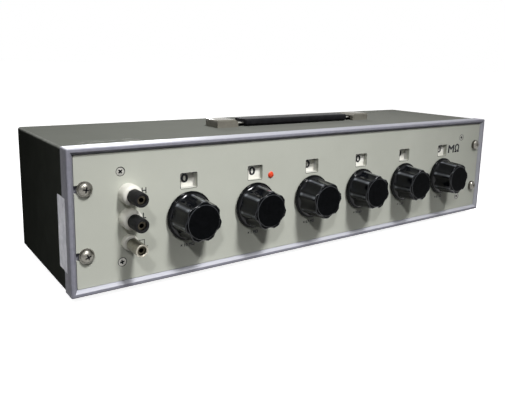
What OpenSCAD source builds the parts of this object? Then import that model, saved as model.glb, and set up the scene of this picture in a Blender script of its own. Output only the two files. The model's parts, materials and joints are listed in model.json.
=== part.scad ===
// Decade resistance box for the bench: six rotary decades behind one framed front panel,
// three binding posts at the left, a strap handle on top and four rubber feet.
// The origin is under the middle of the whole box, at the level the feet stand on.
// +X is the operator's right, +Y runs from the knobs to the back and +Z is up.

/* [Case] */
// Outside width of the steel case
case_w = 537; // [484:1:590]
// Outside height of the steel case, without the feet
case_h = 119; // [114:1:140]
// Depth from the front of the bezel to the back of the case
case_d = 155; // [110:1:220]
// Thickness of the case sheet
sheet_t = 1.2; // [0.8:0.1:2]
// Outside radius of the folded edges
bend_r = 2.5; // [2.2:0.1:4]

/* [Bezel] */
// How far the bezel stands proud of the case all round
bezel_proud = 0.5; // [0:0.1:1.5]
// Depth of the bezel from its front ridge to its back
bezel_depth = 15; // [13:0.5:22]
// Width of the bezel seen from the front, bevel included
bezel_face_w = 5.5; // [5:0.1:8]
// Width of the flat crest between the round outer edge and the inner bevel
bezel_crest_w = 1.9; // [0.3:0.1:2.4]
// Radius of the outer edges
bezel_edge_r = 1.2; // [1:0.1:3.5]
// Width of the lip that backs the panel along its top and bottom
bezel_lip_w = 2.5; // [1.5:0.1:4]
// Width of the ledge that takes the panel screws at each end
bezel_ledge_w = 18; // [15:0.5:22]
// Thickness of the ledge and lip
bezel_ledge_t = 6; // [4:0.5:7]
// Length of the spigot that goes into the case mouth
spigot_l = 6; // [3:0.5:12]
// Wall of the spigot
spigot_t = 2; // [1:0.1:3]
// Clearance between the spigot and the case
spigot_gap = 0.15; // [0.05:0.05:0.5]

/* [Front panel] */
// How far the panel lies behind the bezel's crest
panel_recess = 3; // [1.5:0.1:4.5]
// Thickness of the panel
panel_t = 3; // [2:0.1:4]
// Clearance between the panel and the bezel
panel_gap = 0.4; // [0.1:0.1:1]
// Corner radius of the panel
panel_corner_r = 1.5; // [0.5:0.1:4]
// Distance of the panel screws from the end of the panel
panel_screw_in = 8; // [6.5:0.1:10]
// Height between the two panel screws of one end
panel_screw_rise = 54.4; // [40:0.1:70]
// Thread diameter of the panel screws
panel_screw_d = 6; // [5:0.5:7]
// Head diameter of the panel screws
panel_head_d = 11; // [9:0.1:12]
// Head height of the panel screws
panel_head_h = 4; // [3:0.1:5]
// Outside diameter of the washers
washer_d = 12.6; // [11.5:0.1:13]
// Thickness of the washers
washer_t = 1.2; // [0.8:0.1:2]

/* [Decades] */
// Distance of the first knob from the left end of the panel
first_knob_in = 99.4; // [90:0.1:106]
// Distance of the last knob from the right end of the panel
last_knob_in = 74.8; // [65:0.1:84]
// Height of the knob axes above the middle of the panel
knob_z = -6.8; // [-9:0.1:-4]

/* [Knobs] */
// Diameter of the skirt
skirt_d = 43.6; // [41:0.1:50]
// Thickness of the skirt, which has a full round edge
skirt_t = 3; // [2:0.1:5]
// Height of the knob
knob_h = 26.7; // [22:0.1:32]
// Air between the skirt and the panel
knob_gap = 0.8; // [0.4:0.1:2]
// Diameter of the grip where it meets the skirt
grip_base_d = 38.4; // [36:0.1:40]
// Diameter of the grip at its front
grip_top_d = 35; // [32:0.1:36]
// Radius of the round front edge
grip_edge_r = 1.8; // [0.5:0.1:3]
// Number of flutes round the grip
flute_count = 7; // [6:1:14]
// Radius of the cutter of one flute
flute_r = 13.5; // [4:0.1:16]
// Depth of a flute
flute_depth = 1.6; // [0.6:0.1:2]
// Angle of the first flute at the zero place, on all knobs but the third and the last
flute_turn = 11; // [0:1:51]
// Diameter of the raised disc on the front
disc_d = 30.5; // [20:0.1:31]
// Height of the raised disc
disc_h = 0.4; // [0.2:0.1:1.5]
// Depth of the shaft hole in the knob
knob_bore_l = 16; // [10:0.5:20]

/* [Dials and windows] */
// Air between two dials where they overlap
dial_air = 1.2; // [0.8:0.1:3]
// How far a dial reaches above its window
dial_over = 1; // [0.5:0.1:2]
// Thickness of a dial
dial_t = 1.5; // [1:0.1:3]
// Diameter of the dial hub
hub_d = 16; // [12:0.5:20]
// Middle of a window above its knob
window_rise = 31; // [29:0.1:33]
// Width of a window
window_w = 16; // [12:0.1:20]
// Height of a window
window_h = 13.5; // [10:0.1:16]
// Corner radius of a window
window_r = 1; // [0.5:0.1:2]
// Wall of the frame behind a window
frame_wall = 1.4; // [0.8:0.1:2]
// Depth of the frame behind the second, fourth and sixth window
frame_l = 0.6; // [0.4:0.1:3]
// Air between the frame and the dial
dial_clear = 0.6; // [0.4:0.1:1.5]

/* [Decimal point] */
// Right of the second window's middle
point_dx = 18.3; // [14:0.1:22]
// Below the windows' middle
point_dz = 3.8; // [0:0.1:8]
// Diameter of the coloured head
point_d = 5.6; // [4:0.1:8]
// Height of the coloured head
point_h = 1; // [0.6:0.1:2]
// Diameter of its stem
point_stem_d = 3; // [2:0.1:3.5]

/* [Terminals] */
// Distance of the binding posts from the left end of the panel
post_in = 43.4; // [39:0.1:49.1]
// Height of the middle post above the middle of the panel
post_z = -1; // [-4:0.1:2]
// Distance between neighbouring posts
post_pitch = 20.7; // [19:0.1:23]
// Diameter of the two tall insulators
insulator_d = 17.2; // [14:0.1:18]
// Height of the two tall insulators
insulator_l = 12; // [8:0.1:15]
// Radius of the round shoulder of the two tall insulators
insulator_r = 3.4; // [0.6:0.1:3.4]
// Diameter of the low bush under the earth post
bush_d = 13; // [12:0.1:16]
// Height of the low bush
bush_l = 5.5; // [3:0.1:8]
// Radius of the round shoulder of the low bush
bush_r = 1.2; // [0.4:0.1:2]
// Diameter of the neck that passes the panel
neck_d = 10; // [8:0.1:11]
// Outside diameter of the two insulated caps
cap_d = 12; // [10.8:0.1:13]
// Length of the two insulated caps
cap_l = 16.5; // [13:0.1:20]
// Outside diameter of the bare earth cap
earth_cap_d = 10.8; // [10.8:0.1:13]
// Length of the bare earth cap with the gap behind it
earth_cap_l = 21.5; // [14:0.1:22]
// Length of sleeve that shows in the gap behind the earth cap
earth_gap = 2; // [0:0.1:3]
// Wall of the cap's front, around its plug opening
cap_front_t = 1.8; // [1:0.1:3]
// Diameter of the plug opening in the cap
cap_mouth_d = 5.6; // [5:0.1:6]
// Diameter of the plug socket
socket_d = 4.1; // [4:0.05:4.3]
// Depth of the plug socket
socket_l = 12; // [8:0.5:16]
// Thread diameter of the post under the cap
post_d = 6.4; // [6.1:0.1:6.8]
// Thread diameter of the post behind the panel
post_tail_d = 5; // [4:0.1:5.6]
// Outside diameter of the threaded sleeve in the cap
sleeve_d = 8.6; // [8.2:0.1:9.4]
// Air between the caps and their insulators
cap_air = 0.3; // [0.2:0.1:1]
// Diameter of the washers behind the panel
rear_washer_d = 15; // [12:0.5:17]
// Thickness of the washers behind the panel
rear_washer_t = 3; // [1:0.1:5]
// Width across flats of the post nuts
post_nut_af = 8; // [7:0.1:10]
// Thickness of the post nuts
post_nut_t = 4; // [3:0.1:5]
// Length of bare thread behind the nuts
post_tail_l = 5; // [2:0.5:8]

/* [Switches] */
// Distance of the standoffs from the end of the panel
standoff_in = 37.5; // [33:0.1:42]
// Height between the two standoffs of one end
standoff_rise = 76.3; // [72:0.1:84]
// Length of the standoffs
standoff_l = 24; // [20:0.5:34]
// Width across flats of the standoffs
standoff_af = 10; // [8:0.5:12]
// Thread diameter of the standoff and deck screws
deck_screw_d = 4; // [3:0.1:5]
// Diameter of the countersunk heads in the panel
sunk_head_d = 8; // [7:0.1:9]
// Height of the countersunk heads
sunk_head_h = 2; // [1.5:0.1:2.5]
// Head diameter of the screws behind the deck
deck_head_d = 7.5; // [7:0.1:9]
// Head height of the screws behind the deck
deck_head_h = 2.6; // [2:0.1:3.5]
// Length of thread in each end of a standoff
thread_l = 8; // [5:0.5:9]
// Thickness of the insulating deck
deck_t = 4; // [3:0.1:6]
// Margin of the deck round its screws
deck_margin = 8; // [6:0.5:9]
// Diameter of the shafts
shaft_d = 6; // [5:0.1:7]
// Running clearance round a shaft, on the radius
run_gap = 0.05; // [0.02:0.01:0.1]
// End play of a shaft
end_play = 0.3; // [0.2:0.1:0.6]
// Thread diameter of the shaft bushings
bushing_d = 9.5; // [8.5:0.1:11]
// Flange diameter of the bushings
flange_d = 16; // [13:0.5:20]
// Flange thickness of the bushings
flange_t = 3; // [2:0.1:5]
// Length of the bushings behind the deck
bushing_tail_l = 7; // [5:0.1:8]
// Width across flats of the bushing nuts
bushing_nut_af = 14; // [13:0.5:17]
// Thickness of the bushing nuts
bushing_nut_t = 3; // [2:0.1:4]
// Air between neighbouring contact wafers
wafer_air = 6.4; // [4:0.1:8]
// Thickness of the contact wafers
wafer_t = 3; // [2:0.1:5]
// Length of the spacers between deck and wafers
spacer_l = 14; // [13:0.5:24]
// Diameter of the spacers
spacer_d = 6; // [4:0.1:8]
// Distance of the contacts from the wafer's edge
contact_in = 5.5; // [5:0.1:8]
// Head diameter of the contacts
contact_head_d = 5; // [4:0.1:6]
// Head height of the contacts
contact_head_h = 1.6; // [1:0.1:2]
// Shank diameter of the contacts
contact_d = 3; // [2:0.1:3.5]
// Length of the contacts behind the wafer
contact_tail_l = 8; // [7:0.1:12]
// Outside diameter of the slip rings
ring_d = 18; // [16:0.5:22]
// Thickness of the slip rings
ring_t = 0.8; // [0.5:0.1:1.2]
// Air between a wiper and what it sweeps
wiper_air = 0.3; // [0.2:0.05:0.5]
// Width of the wiper arm
wiper_w = 6; // [4:0.1:8]
// Thickness of the wiper arm
wiper_t = 1.2; // [0.8:0.1:1.5]
// Diameter of the wiper collar
collar_d = 14; // [12:0.5:16]
// Diameter of the resistor bodies
resistor_d = 5; // [3:0.1:6]
// Length of bare lead at each end of a resistor body
resistor_lead_l = 1.3; // [1:0.05:2.8]
// Diameter of the resistor leads
resistor_lead_d = 0.8; // [0.5:0.1:1.2]
// Diameter of the bare links between the decades
link_d = 1.6; // [1:0.1:2.5]
// Diameter of the two leads to the posts
lead_d = 2.4; // [1.6:0.1:4]
// Air left at a soldered joint
solder_gap = 0.05; // [0.02:0.01:0.1]

/* [Handle] */
// Length over the two end caps
handle_l = 216; // [190:1:240]
// Middle of the handle, right of the middle of the case
handle_x = 11; // [0:0.5:20]
// Width of the handle
handle_w = 24; // [20:0.5:30]
// Middle of the handle behind the front of the bezel
handle_y = 78; // [60:0.5:95]
// Length of an end cap at its foot
end_cap_l = 25; // [22:0.5:32]
// Height of an end cap
end_cap_h = 8; // [7.5:0.1:12]
// How much shorter the cap is at its top
end_cap_slope = 4; // [1:0.1:5]
// How far the sloping end drops below the top of the cap
end_cap_drop = 2; // [1:0.1:2.2]
// Wall of an end cap
end_cap_wall = 1.2; // [0.8:0.1:1.8]
// Length of bare strap between cap and grip
neck_l = 10.5; // [8:0.1:14]
// Thickness of the grip
grip_t = 7; // [6:0.1:9]
// Edge radius of the grip
grip_r = 2.4; // [1:0.1:2.9]
// Air under the grip
grip_air = 0.8; // [0.4:0.1:2]
// Width of the steel strap
strap_w = 14; // [10:0.1:17]
// Thickness of the steel strap
strap_t = 1.5; // [0.8:0.1:1.6]
// Air under the strap
strap_air = 2.8; // [2.7:0.05:3]
// Length of strap inside a cap
strap_in_l = 14; // [13:0.1:14.5]
// Width of the wide end that holds the strap in its cap
strap_end_w = 19; // [17.5:0.1:19.5]
// Length of the wide end
strap_end_l = 3; // [2:0.1:4]
// Length of strap inside the grip
strap_grip_l = 40; // [20:1:60]
// Air round the strap in the mouth of a cap
mouth_air = 0.8; // [0.6:0.1:1]
// Air between the two halves of the grip at the middle
flex_gap = 0.3; // [0.2:0.05:0.6]
// Thread diameter of the cap screws
cap_screw_d = 4; // [3:0.1:4.5]
// Distance between the two screws of a cap
cap_screw_pitch = 12; // [11:0.5:13]

/* [Feet] */
// Height of the rubber feet
foot_h = 6; // [5:0.5:15]
// Diameter of a foot at the case
foot_d = 20; // [16:0.5:28]
// Diameter of a foot at the floor
foot_base_d = 17; // [14:0.5:24]
// Distance of the feet from the sides of the case
foot_in_x = 34; // [20:1:60]
// Distance of the feet from the back of the case and of the bezel
foot_in_y = 24; // [16:1:40]
// Thread diameter of the foot screws
foot_screw_d = 4; // [3:0.1:4.5]

/* [Hidden] */
$fn = 64;
decades = 6;
step_angle = 30;
positions = 11;
half_step_knobs = [3, 6];
rotor_nodes = ["knob_", "shaft_", "dial_", "wiper_"];
post_names = ["h", "l", "e"];

// cutters overshoot a face by this much, and threads are drawn with this clearance
cut = 1;
fit = 0.05;
hex = 6;

// case, bezel and panel
bezel_w = case_w + 2 * bezel_proud;
bezel_h = case_h + 2 * bezel_proud;
pocket_w = bezel_w - 2 * bezel_face_w;
pocket_h = bezel_h - 2 * bezel_face_w;
panel_w = pocket_w - 2 * panel_gap;
panel_h = pocket_h - 2 * panel_gap;
knob_reach = knob_gap + knob_h;
post_reach = max(insulator_l + cap_l, bush_l + earth_cap_l) + cap_air;
front_reach = max(knob_reach, post_reach) - panel_recess;
front_y = (front_reach - case_d) / 2;
panel_y = front_y + panel_recess;
back_y = front_y + case_d;
mid_z = foot_h + case_h / 2;
top_z = foot_h + case_h;

// screw places on the panel
panel_screw_x = panel_w / 2 - panel_screw_in;
standoff_x = panel_w / 2 - standoff_in;
ledge_hole_d = panel_screw_d + 2 * fit;

// depths behind the face of the panel
deck_face = panel_t + standoff_l;
deck_back = deck_face + deck_t;
bushing_end = deck_back + bushing_tail_l;
wafer_face = deck_back + spacer_l;
wafer_back = wafer_face + wafer_t;
tail_end = wafer_back + contact_tail_l;
arm_face = wafer_face - contact_head_h - wiper_air;
link_depth = tail_end + solder_gap + link_d / 2;
return_depth = tail_end + 3 * lead_d;
post_tail_end = panel_t + rear_washer_t + post_nut_t + post_tail_l;

// decades
knob_pitch = (panel_w - first_knob_in - last_knob_in) / (decades - 1);
function knob_x(k) = first_knob_in - panel_w / 2 + (k - 1) * knob_pitch;
function half_step(k) = len(search(k, half_step_knobs)) * 180 / flute_count;
dial_d = 2 * (window_rise + window_h / 2 + dial_over);
window_z = knob_z + window_rise;
// the dials are wider than the pitch, so every other one lies deeper
function frame_depth(k) = frame_l + k % 2 * (dial_t + dial_air);
function dial_face(k) = panel_t + frame_depth(k) + dial_clear;
wafer_w = knob_pitch - wafer_air;
contact_pr = wafer_w / 2 - contact_in;
ring_bore_d = shaft_d + 4;
ring_tail_r = (ring_d + ring_bore_d) / 4;
chord = 2 * contact_pr * sin(step_angle / 2);
resistor_span = chord - contact_d - 2 * solder_gap;
resistor_l = resistor_span - 2 * resistor_lead_l;
spacer_off = (wafer_w - spacer_d) / 2 - 1;
function stud_angle(n) = 90 - n * step_angle;

// binding posts: h and l are insulated, e is the earth post
post_x = panel_w / 2 - post_in;
function seat_l(p) = p < 2 ? insulator_l : bush_l;
function seat_d(p) = p < 2 ? insulator_d : bush_d;
function seat_r(p) = p < 2 ? insulator_r : bush_r;
function post_cap_l(p) = p < 2 ? cap_l : earth_cap_l;
function post_cap_d(p) = p < 2 ? cap_d : earth_cap_d;
function post_gap(p) = p < 2 ? 0 : earth_gap;
function post_height(p) = post_z + (1 - p) * post_pitch;
function cap_front(p) = seat_l(p) + cap_air + post_cap_l(p);

// handle
cap_inner_x = handle_l / 2 - end_cap_l;
grip_half_l = cap_inner_x - neck_l;
cap_screw_x = handle_l / 2 - end_cap_wall - cap_screw_d;
boss_d = cap_screw_d + 3;
handle_mid_y = front_y + handle_y;

// feet
foot_x = case_w / 2 - foot_in_x;
foot_front_y = front_y + bezel_depth + foot_in_y;
foot_back_y = back_y - foot_in_y;
foot_head_d = 2 * foot_screw_d;
foot_head_h = foot_h / 2;

// a drawing plane on the face of the panel: X right, Y up and Z out towards the operator
module on_panel(x, z) {
    translate([x, panel_y, mid_z + z]) rotate([90, 0, 0]) children();
}

module at_decades() {
    for (k = [1:decades]) on_panel(knob_x(k), knob_z) children();
}

module at_panel_screws() {
    for (x = [-1, 1], z = [-1, 1]) on_panel(x * panel_screw_x, z * panel_screw_rise / 2) children();
}

module at_standoffs() {
    for (x = [-1, 1], z = [-1, 1]) on_panel(x * standoff_x, z * standoff_rise / 2) children();
}

module at_feet() {
    for (x = [-1, 1], y = [foot_front_y, foot_back_y]) translate([x * foot_x, y, 0]) children();
}

module at_cap_screws() {
    for (x = [-1, 1], y = [-1, 1])
        translate([handle_x + x * cap_screw_x, handle_mid_y + y * cap_screw_pitch / 2, top_z])
            children();
}

// a plate with round corners, centred
module round_rect(w, h, r) {
    square([w - 2 * r, h], center = true);
    square([w, h - 2 * r], center = true);
    for (x = [-1, 1], y = [-1, 1]) translate([x * (w / 2 - r), y * (h / 2 - r)]) circle(r);
}

// a round bar from one depth behind the panel to a lesser one
module bar(d, from, to) {
    translate([0, 0, -from]) cylinder(d = d, h = from - to);
}

module rod(a, b, d) {
    v = b - a;
    translate(a) rotate([0, acos(v.z / norm(v)), atan2(v.y, v.x)]) cylinder(d = d, h = norm(v));
}

// a bent wire through a list of places, with a soldered knuckle at each bend
module wire(places, d) {
    knuckle_d = 1.4 * d;
    for (i = [1:len(places) - 1]) rod(places[i - 1], places[i], d);
    for (i = [1:1:len(places) - 2]) translate(places[i]) sphere(d = knuckle_d);
}

module hex_nut(af, t, bore) {
    difference() {
        cylinder(d = af / cos(180 / hex), h = t, $fn = hex);
        translate([0, 0, -cut]) cylinder(d = bore, h = t + 2 * cut);
    }
}

// the cross recess of a screw head, cut down from z = 0
module cross_recess(w, depth) {
    slit = w / 4;
    for (a = [0, 90]) rotate(a) translate([-w / 2, -slit / 2, -depth]) cube([w, slit, depth + cut]);
}

// a pan head standing on z = 0, with its shank below
module pan_screw(head_d, head_h, thread_d, length) {
    edge_h = head_h / 2;
    dome = head_h - edge_h;
    dome_r = (head_d * head_d / 4 + dome * dome) / (2 * dome);
    difference() {
        union() {
            intersection() {
                cylinder(d = head_d, h = head_h);
                translate([0, 0, head_h - dome_r]) sphere(dome_r, $fn = 96);
            }
            translate([0, 0, -length]) cylinder(d = thread_d, h = length + edge_h);
        }
        translate([0, 0, head_h]) cross_recess(head_d * 0.6, head_h / 2);
    }
}

module case_body() {
    length = case_d - bezel_depth;
    color("#6c6e66") difference() {
        translate([0, back_y, mid_z]) rotate([90, 0, 0])
            linear_extrude(length) round_rect(case_w, case_h, bend_r);
        translate([0, back_y - sheet_t, mid_z]) rotate([90, 0, 0])
            linear_extrude(length) round_rect(case_w - 2 * sheet_t, case_h - 2 * sheet_t, bend_r - sheet_t);
        at_feet() translate([0, 0, foot_h - cut])
            cylinder(d = foot_screw_d + 2 * fit, h = sheet_t + 2 * cut);
        at_cap_screws() translate([0, 0, -sheet_t - cut])
            cylinder(d = cap_screw_d + 2 * fit, h = sheet_t + 2 * cut);
    }
}

// a cast frame: round outer edges, a flat crest, a bevel down to the panel, a ledge and a spigot
module front_bezel() {
    corner_x = bezel_w / 2 - bezel_edge_r;
    corner_z = bezel_h / 2 - bezel_edge_r;
    crest_in = min(bezel_edge_r + bezel_crest_w, bezel_face_w - fit);
    ledge_depth = panel_recess + panel_t;
    inner_w = pocket_w - 2 * bezel_ledge_w;
    inner_h = pocket_h - 2 * bezel_lip_w;
    mouth_w = case_w - 2 * sheet_t - 2 * spigot_gap;
    mouth_h = case_h - 2 * sheet_t - 2 * spigot_gap;
    color("#b9bac2") difference() {
        union() {
            difference() {
                hull() for (x = [-1, 1], z = [-1, 1])
                    translate([x * corner_x, front_y, mid_z + z * corner_z]) {
                        translate([0, bezel_edge_r, 0]) sphere(bezel_edge_r, $fn = 32);
                        translate([0, bezel_depth, 0]) rotate([90, 0, 0])
                            cylinder(r = bezel_edge_r, h = bezel_depth - bezel_edge_r, $fn = 32);
                    }
                translate([-pocket_w / 2, panel_y, mid_z - pocket_h / 2])
                    cube([pocket_w, bezel_depth, pocket_h]);
                hull() {
                    translate([-bezel_w / 2 + crest_in, front_y, mid_z - bezel_h / 2 + crest_in])
                        translate([0, -cut, 0]) cube([bezel_w - 2 * crest_in, cut, bezel_h - 2 * crest_in]);
                    translate([-pocket_w / 2, panel_y, mid_z - pocket_h / 2])
                        cube([pocket_w, panel_t, pocket_h]);
                }
            }
            translate([-pocket_w / 2, front_y + ledge_depth, mid_z - pocket_h / 2])
                cube([pocket_w, bezel_ledge_t, pocket_h]);
            translate([0, front_y + bezel_depth + spigot_l, mid_z]) rotate([90, 0, 0])
                linear_extrude(spigot_l + bezel_depth - ledge_depth)
                    round_rect(mouth_w, mouth_h, bend_r - sheet_t);
        }
        translate([-inner_w / 2, front_y, mid_z - inner_h / 2])
            cube([inner_w, bezel_depth + spigot_l + cut, inner_h]);
        translate([0, front_y + ledge_depth + bezel_ledge_t, mid_z])
            translate([-mouth_w / 2 + spigot_t, 0, -mouth_h / 2 + spigot_t])
                cube([mouth_w - 2 * spigot_t, bezel_depth + spigot_l, mouth_h - 2 * spigot_t]);
        at_panel_screws() bar(ledge_hole_d, panel_t + bezel_ledge_t + cut, 0);
    }
}

module front_panel() {
    slot_w = ledge_hole_d + 0.5;
    color("#b8bab0") difference() {
        on_panel(0, 0) translate([0, 0, -panel_t])
            linear_extrude(panel_t) round_rect(panel_w, panel_h, panel_corner_r);
        for (k = [1:decades]) {
            on_panel(knob_x(k), window_z) translate([0, 0, -panel_t - cut])
                linear_extrude(panel_t + 2 * cut) round_rect(window_w, window_h, window_r);
            on_panel(knob_x(k), knob_z) bar(shaft_d + 4, panel_t + cut, -cut);
        }
        for (p = [0:2]) on_panel(-post_x, post_height(p)) bar(neck_d + 2 * fit, panel_t + cut, -cut);
        at_panel_screws() bar(slot_w, panel_t + cut, -cut);
        for (side = [-1, 1], z = [-1, 1])
            on_panel(side * (panel_screw_x + panel_w / 2) / 2, z * panel_screw_rise / 2)
                translate([side * cut / 2, 0, -panel_t / 2])
                    cube([panel_screw_in + cut, slot_w, panel_t + 2 * cut], center = true);
        at_standoffs() {
            bar(deck_screw_d + 2 * fit, panel_t + cut, -cut);
            translate([0, 0, -sunk_head_h])
                cylinder(d1 = deck_screw_d + 2 * fit, d2 = sunk_head_d + 2 * fit, h = sunk_head_h);
        }
        decimal_place() bar(point_stem_d + 2 * fit, panel_t + cut, -cut);
    }
}

module window_frames() {
    outer_w = window_w + 2 * frame_wall;
    outer_h = window_h + 2 * frame_wall;
    color("#d9d8d0") for (k = [1:decades]) on_panel(knob_x(k), window_z)
        translate([0, 0, -panel_t - frame_depth(k)]) difference() {
            linear_extrude(frame_depth(k)) round_rect(outer_w, outer_h, window_r + frame_wall);
            translate([0, 0, -cut]) linear_extrude(frame_depth(k) + 2 * cut)
                round_rect(window_w, window_h, window_r);
        }
}

module panel_washers() {
    color("#c4c4c0") at_panel_screws() difference() {
        cylinder(d = washer_d, h = washer_t);
        translate([0, 0, -cut]) cylinder(d = ledge_hole_d, h = washer_t + 2 * cut);
    }
}

module panel_screws() {
    color("#d2d2ce") at_panel_screws() translate([0, 0, washer_t])
        pan_screw(panel_head_d, panel_head_h, panel_screw_d, washer_t + panel_t + bezel_ledge_t);
}

module deck_standoffs() {
    color("#c9c9c4") at_standoffs() difference() {
        translate([0, 0, -deck_face]) cylinder(d = standoff_af / cos(180 / hex), h = standoff_l, $fn = hex);
        bar(deck_screw_d + 2 * fit, panel_t + thread_l + cut, panel_t - cut);
        bar(deck_screw_d + 2 * fit, deck_face + cut, deck_face - thread_l - cut);
    }
}

module standoff_screws() {
    color("#d2d2ce") at_standoffs() difference() {
        union() {
            translate([0, 0, -sunk_head_h]) cylinder(d1 = deck_screw_d, d2 = sunk_head_d, h = sunk_head_h);
            bar(deck_screw_d, panel_t + thread_l, sunk_head_h);
        }
        cross_recess(sunk_head_d * 0.6, sunk_head_h * 0.7);
    }
}

module switch_deck() {
    deck_w = 2 * (standoff_x + deck_margin);
    deck_h = standoff_rise + 2 * deck_margin;
    notch_w = deck_w / 2 - post_x + 2 * lead_d + post_nut_af;
    notch_h = 2 * post_pitch + rear_washer_d;
    color("#6b3d22") difference() {
        on_panel(0, 0) translate([0, 0, -deck_back]) linear_extrude(deck_t) difference() {
            round_rect(deck_w, deck_h, deck_margin / 2);
            translate([-deck_w / 2 - cut, post_z - notch_h / 2]) square([notch_w + cut, notch_h]);
        }
        at_decades() bar(bushing_d + 2 * fit, deck_back + cut, deck_face - cut);
        at_standoffs() bar(deck_screw_d + 2 * fit, deck_back + cut, deck_face - cut);
    }
}

module deck_screws() {
    color("#d2d2ce") at_standoffs() translate([0, 0, -deck_back]) rotate([180, 0, 0])
        pan_screw(deck_head_d, deck_head_h, deck_screw_d, deck_t + thread_l);
}

module switch_bushings() {
    color("#c8a94a") at_decades() difference() {
        union() {
            bar(flange_d, deck_face, deck_face - flange_t);
            bar(bushing_d, bushing_end, deck_face - cut);
        }
        bar(shaft_d + 2 * run_gap, bushing_end + cut, deck_face - flange_t - cut);
    }
}

module bushing_nuts() {
    color("#c4c4c0") at_decades() translate([0, 0, -deck_back - bushing_nut_t])
        hex_nut(bushing_nut_af, bushing_nut_t, bushing_d + 2 * fit);
}

module at_spacers() {
    for (x = [-1, 1], y = [-1, 1]) translate([x * spacer_off, y * spacer_off, 0]) children();
}

module wafer_spacers() {
    color("#c9c9c4") at_decades() at_spacers() bar(spacer_d, wafer_face, deck_back);
}

module at_contacts() {
    for (n = [0:positions - 1]) rotate(stud_angle(n)) translate([contact_pr, 0, 0]) children();
}

module stator_wafers() {
    color("#d8c9a0") at_decades() difference() {
        translate([0, 0, -wafer_back]) linear_extrude(wafer_t) round_rect(wafer_w, wafer_w, spacer_d / 2);
        bar(ring_bore_d, wafer_back + cut, wafer_face - cut);
        at_contacts() bar(contact_d + 2 * fit, wafer_back + cut, wafer_face - cut);
        translate([0, -ring_tail_r, 0]) bar(contact_d + 2 * fit, wafer_back + cut, wafer_face - cut);
    }
}

// eleven studs a decade, and the slip ring that the collar of the wiper runs on
module switch_contacts() {
    color("#d0ae58") at_decades() {
        at_contacts() {
            bar(contact_head_d, wafer_face, wafer_face - contact_head_h);
            bar(contact_d, tail_end, wafer_face);
        }
        difference() {
            bar(ring_d, wafer_face, wafer_face - ring_t);
            bar(ring_bore_d, wafer_face + cut, wafer_face - ring_t - cut);
        }
        translate([0, -ring_tail_r, 0]) bar(contact_d, tail_end, wafer_face);
    }
}

// ten resistors a decade, each soldered between two neighbouring studs
module decade_resistors() {
    end_r = resistor_d / 2;
    lead_r = resistor_lead_d / 2;
    waist_r = end_r * 0.85;
    chord_r = contact_pr * cos(step_angle / 2);
    color("#8a9a5c") at_decades() for (n = [0:positions - 2])
        rotate(stud_angle(n + 0.5)) translate([chord_r, 0, -wafer_back - contact_tail_l / 2])
            rotate([90, 0, 0]) rotate_extrude() polygon([
                [0, -resistor_span / 2], [lead_r, -resistor_span / 2], [lead_r, -resistor_l / 2],
                [end_r, -resistor_l / 2], [end_r, -resistor_l / 4], [waist_r, -resistor_l / 4],
                [waist_r, resistor_l / 4], [end_r, resistor_l / 4], [end_r, resistor_l / 2],
                [lead_r, resistor_l / 2], [lead_r, resistor_span / 2], [0, resistor_span / 2]
            ]);
}

// bare links from one decade's slip ring to the next one's first stud, and a lead to either post
module lead_wires() {
    ring_z = knob_z - ring_tail_r;
    first_z = knob_z + contact_pr;
    lead_start = -post_tail_end - solder_gap;
    lead_depth = -tail_end - solder_gap - lead_d / 2;
    color("#c07a48") on_panel(0, 0) {
        for (k = [1:decades - 1])
            rod([knob_x(k), ring_z, -link_depth], [knob_x(k + 1), first_z, -link_depth], link_d);
        wire([
            [-post_x, post_height(0), lead_start],
            [-post_x, post_height(0), lead_depth],
            [knob_x(1), first_z, lead_depth]
        ], lead_d);
        wire([
            [-post_x, post_height(1), lead_start],
            [-post_x, post_height(1), -return_depth],
            [knob_x(decades), ring_z, -return_depth],
            [knob_x(decades), ring_z, -tail_end - solder_gap]
        ], lead_d);
    }
}

module decimal_place() {
    on_panel(knob_x(2) + point_dx, window_z - point_dz) children();
}

module decimal_point() {
    dome_r = (point_d * point_d / 4 + point_h * point_h) / (2 * point_h);
    color("#d2552d") decimal_place() {
        intersection() {
            cylinder(d = point_d, h = point_h);
            translate([0, 0, point_h - dome_r]) sphere(dome_r);
        }
        bar(point_stem_d, panel_t, 0);
    }
}

// white bushes: the neck passes the panel and the body stands on its face
module terminal_insulators() {
    color("#e6e4da") for (p = [0:2]) on_panel(-post_x, post_height(p)) difference() {
        union() {
            rotate_extrude() {
                square([seat_d(p) / 2, seat_l(p) - seat_r(p)]);
                square([seat_d(p) / 2 - seat_r(p), seat_l(p)]);
                translate([seat_d(p) / 2 - seat_r(p), seat_l(p) - seat_r(p)]) circle(seat_r(p));
            }
            bar(neck_d, panel_t, -seat_l(p) / 2);
        }
        bar(post_tail_d + 2 * fit, panel_t + cut, -seat_l(p) - cut);
    }
}

module terminal_rear_washers() {
    color("#e6e4da") for (p = [0:2]) on_panel(-post_x, post_height(p)) difference() {
        bar(rear_washer_d, panel_t + rear_washer_t, panel_t);
        bar(post_tail_d + 2 * fit, panel_t + rear_washer_t + cut, panel_t - cut);
    }
}

// the post stands on its bush, with the plug socket bored in its front end
module terminal_studs() {
    color("#cfae5a") for (p = [0:2]) on_panel(-post_x, post_height(p)) {
        front = cap_front(p) - cap_front_t - cap_air;
        difference() {
            union() {
                bar(post_tail_d, post_tail_end, -seat_l(p));
                translate([0, 0, seat_l(p)]) cylinder(d = post_d, h = front - seat_l(p));
            }
            translate([0, 0, front - socket_l]) cylinder(d = socket_d, h = socket_l + cut);
        }
    }
}

module terminal_nuts() {
    color("#c4c4c0") for (p = [0:2]) on_panel(-post_x, post_height(p))
        translate([0, 0, -panel_t - rear_washer_t - post_nut_t])
            hex_nut(post_nut_af, post_nut_t, post_tail_d + 2 * fit);
}

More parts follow.
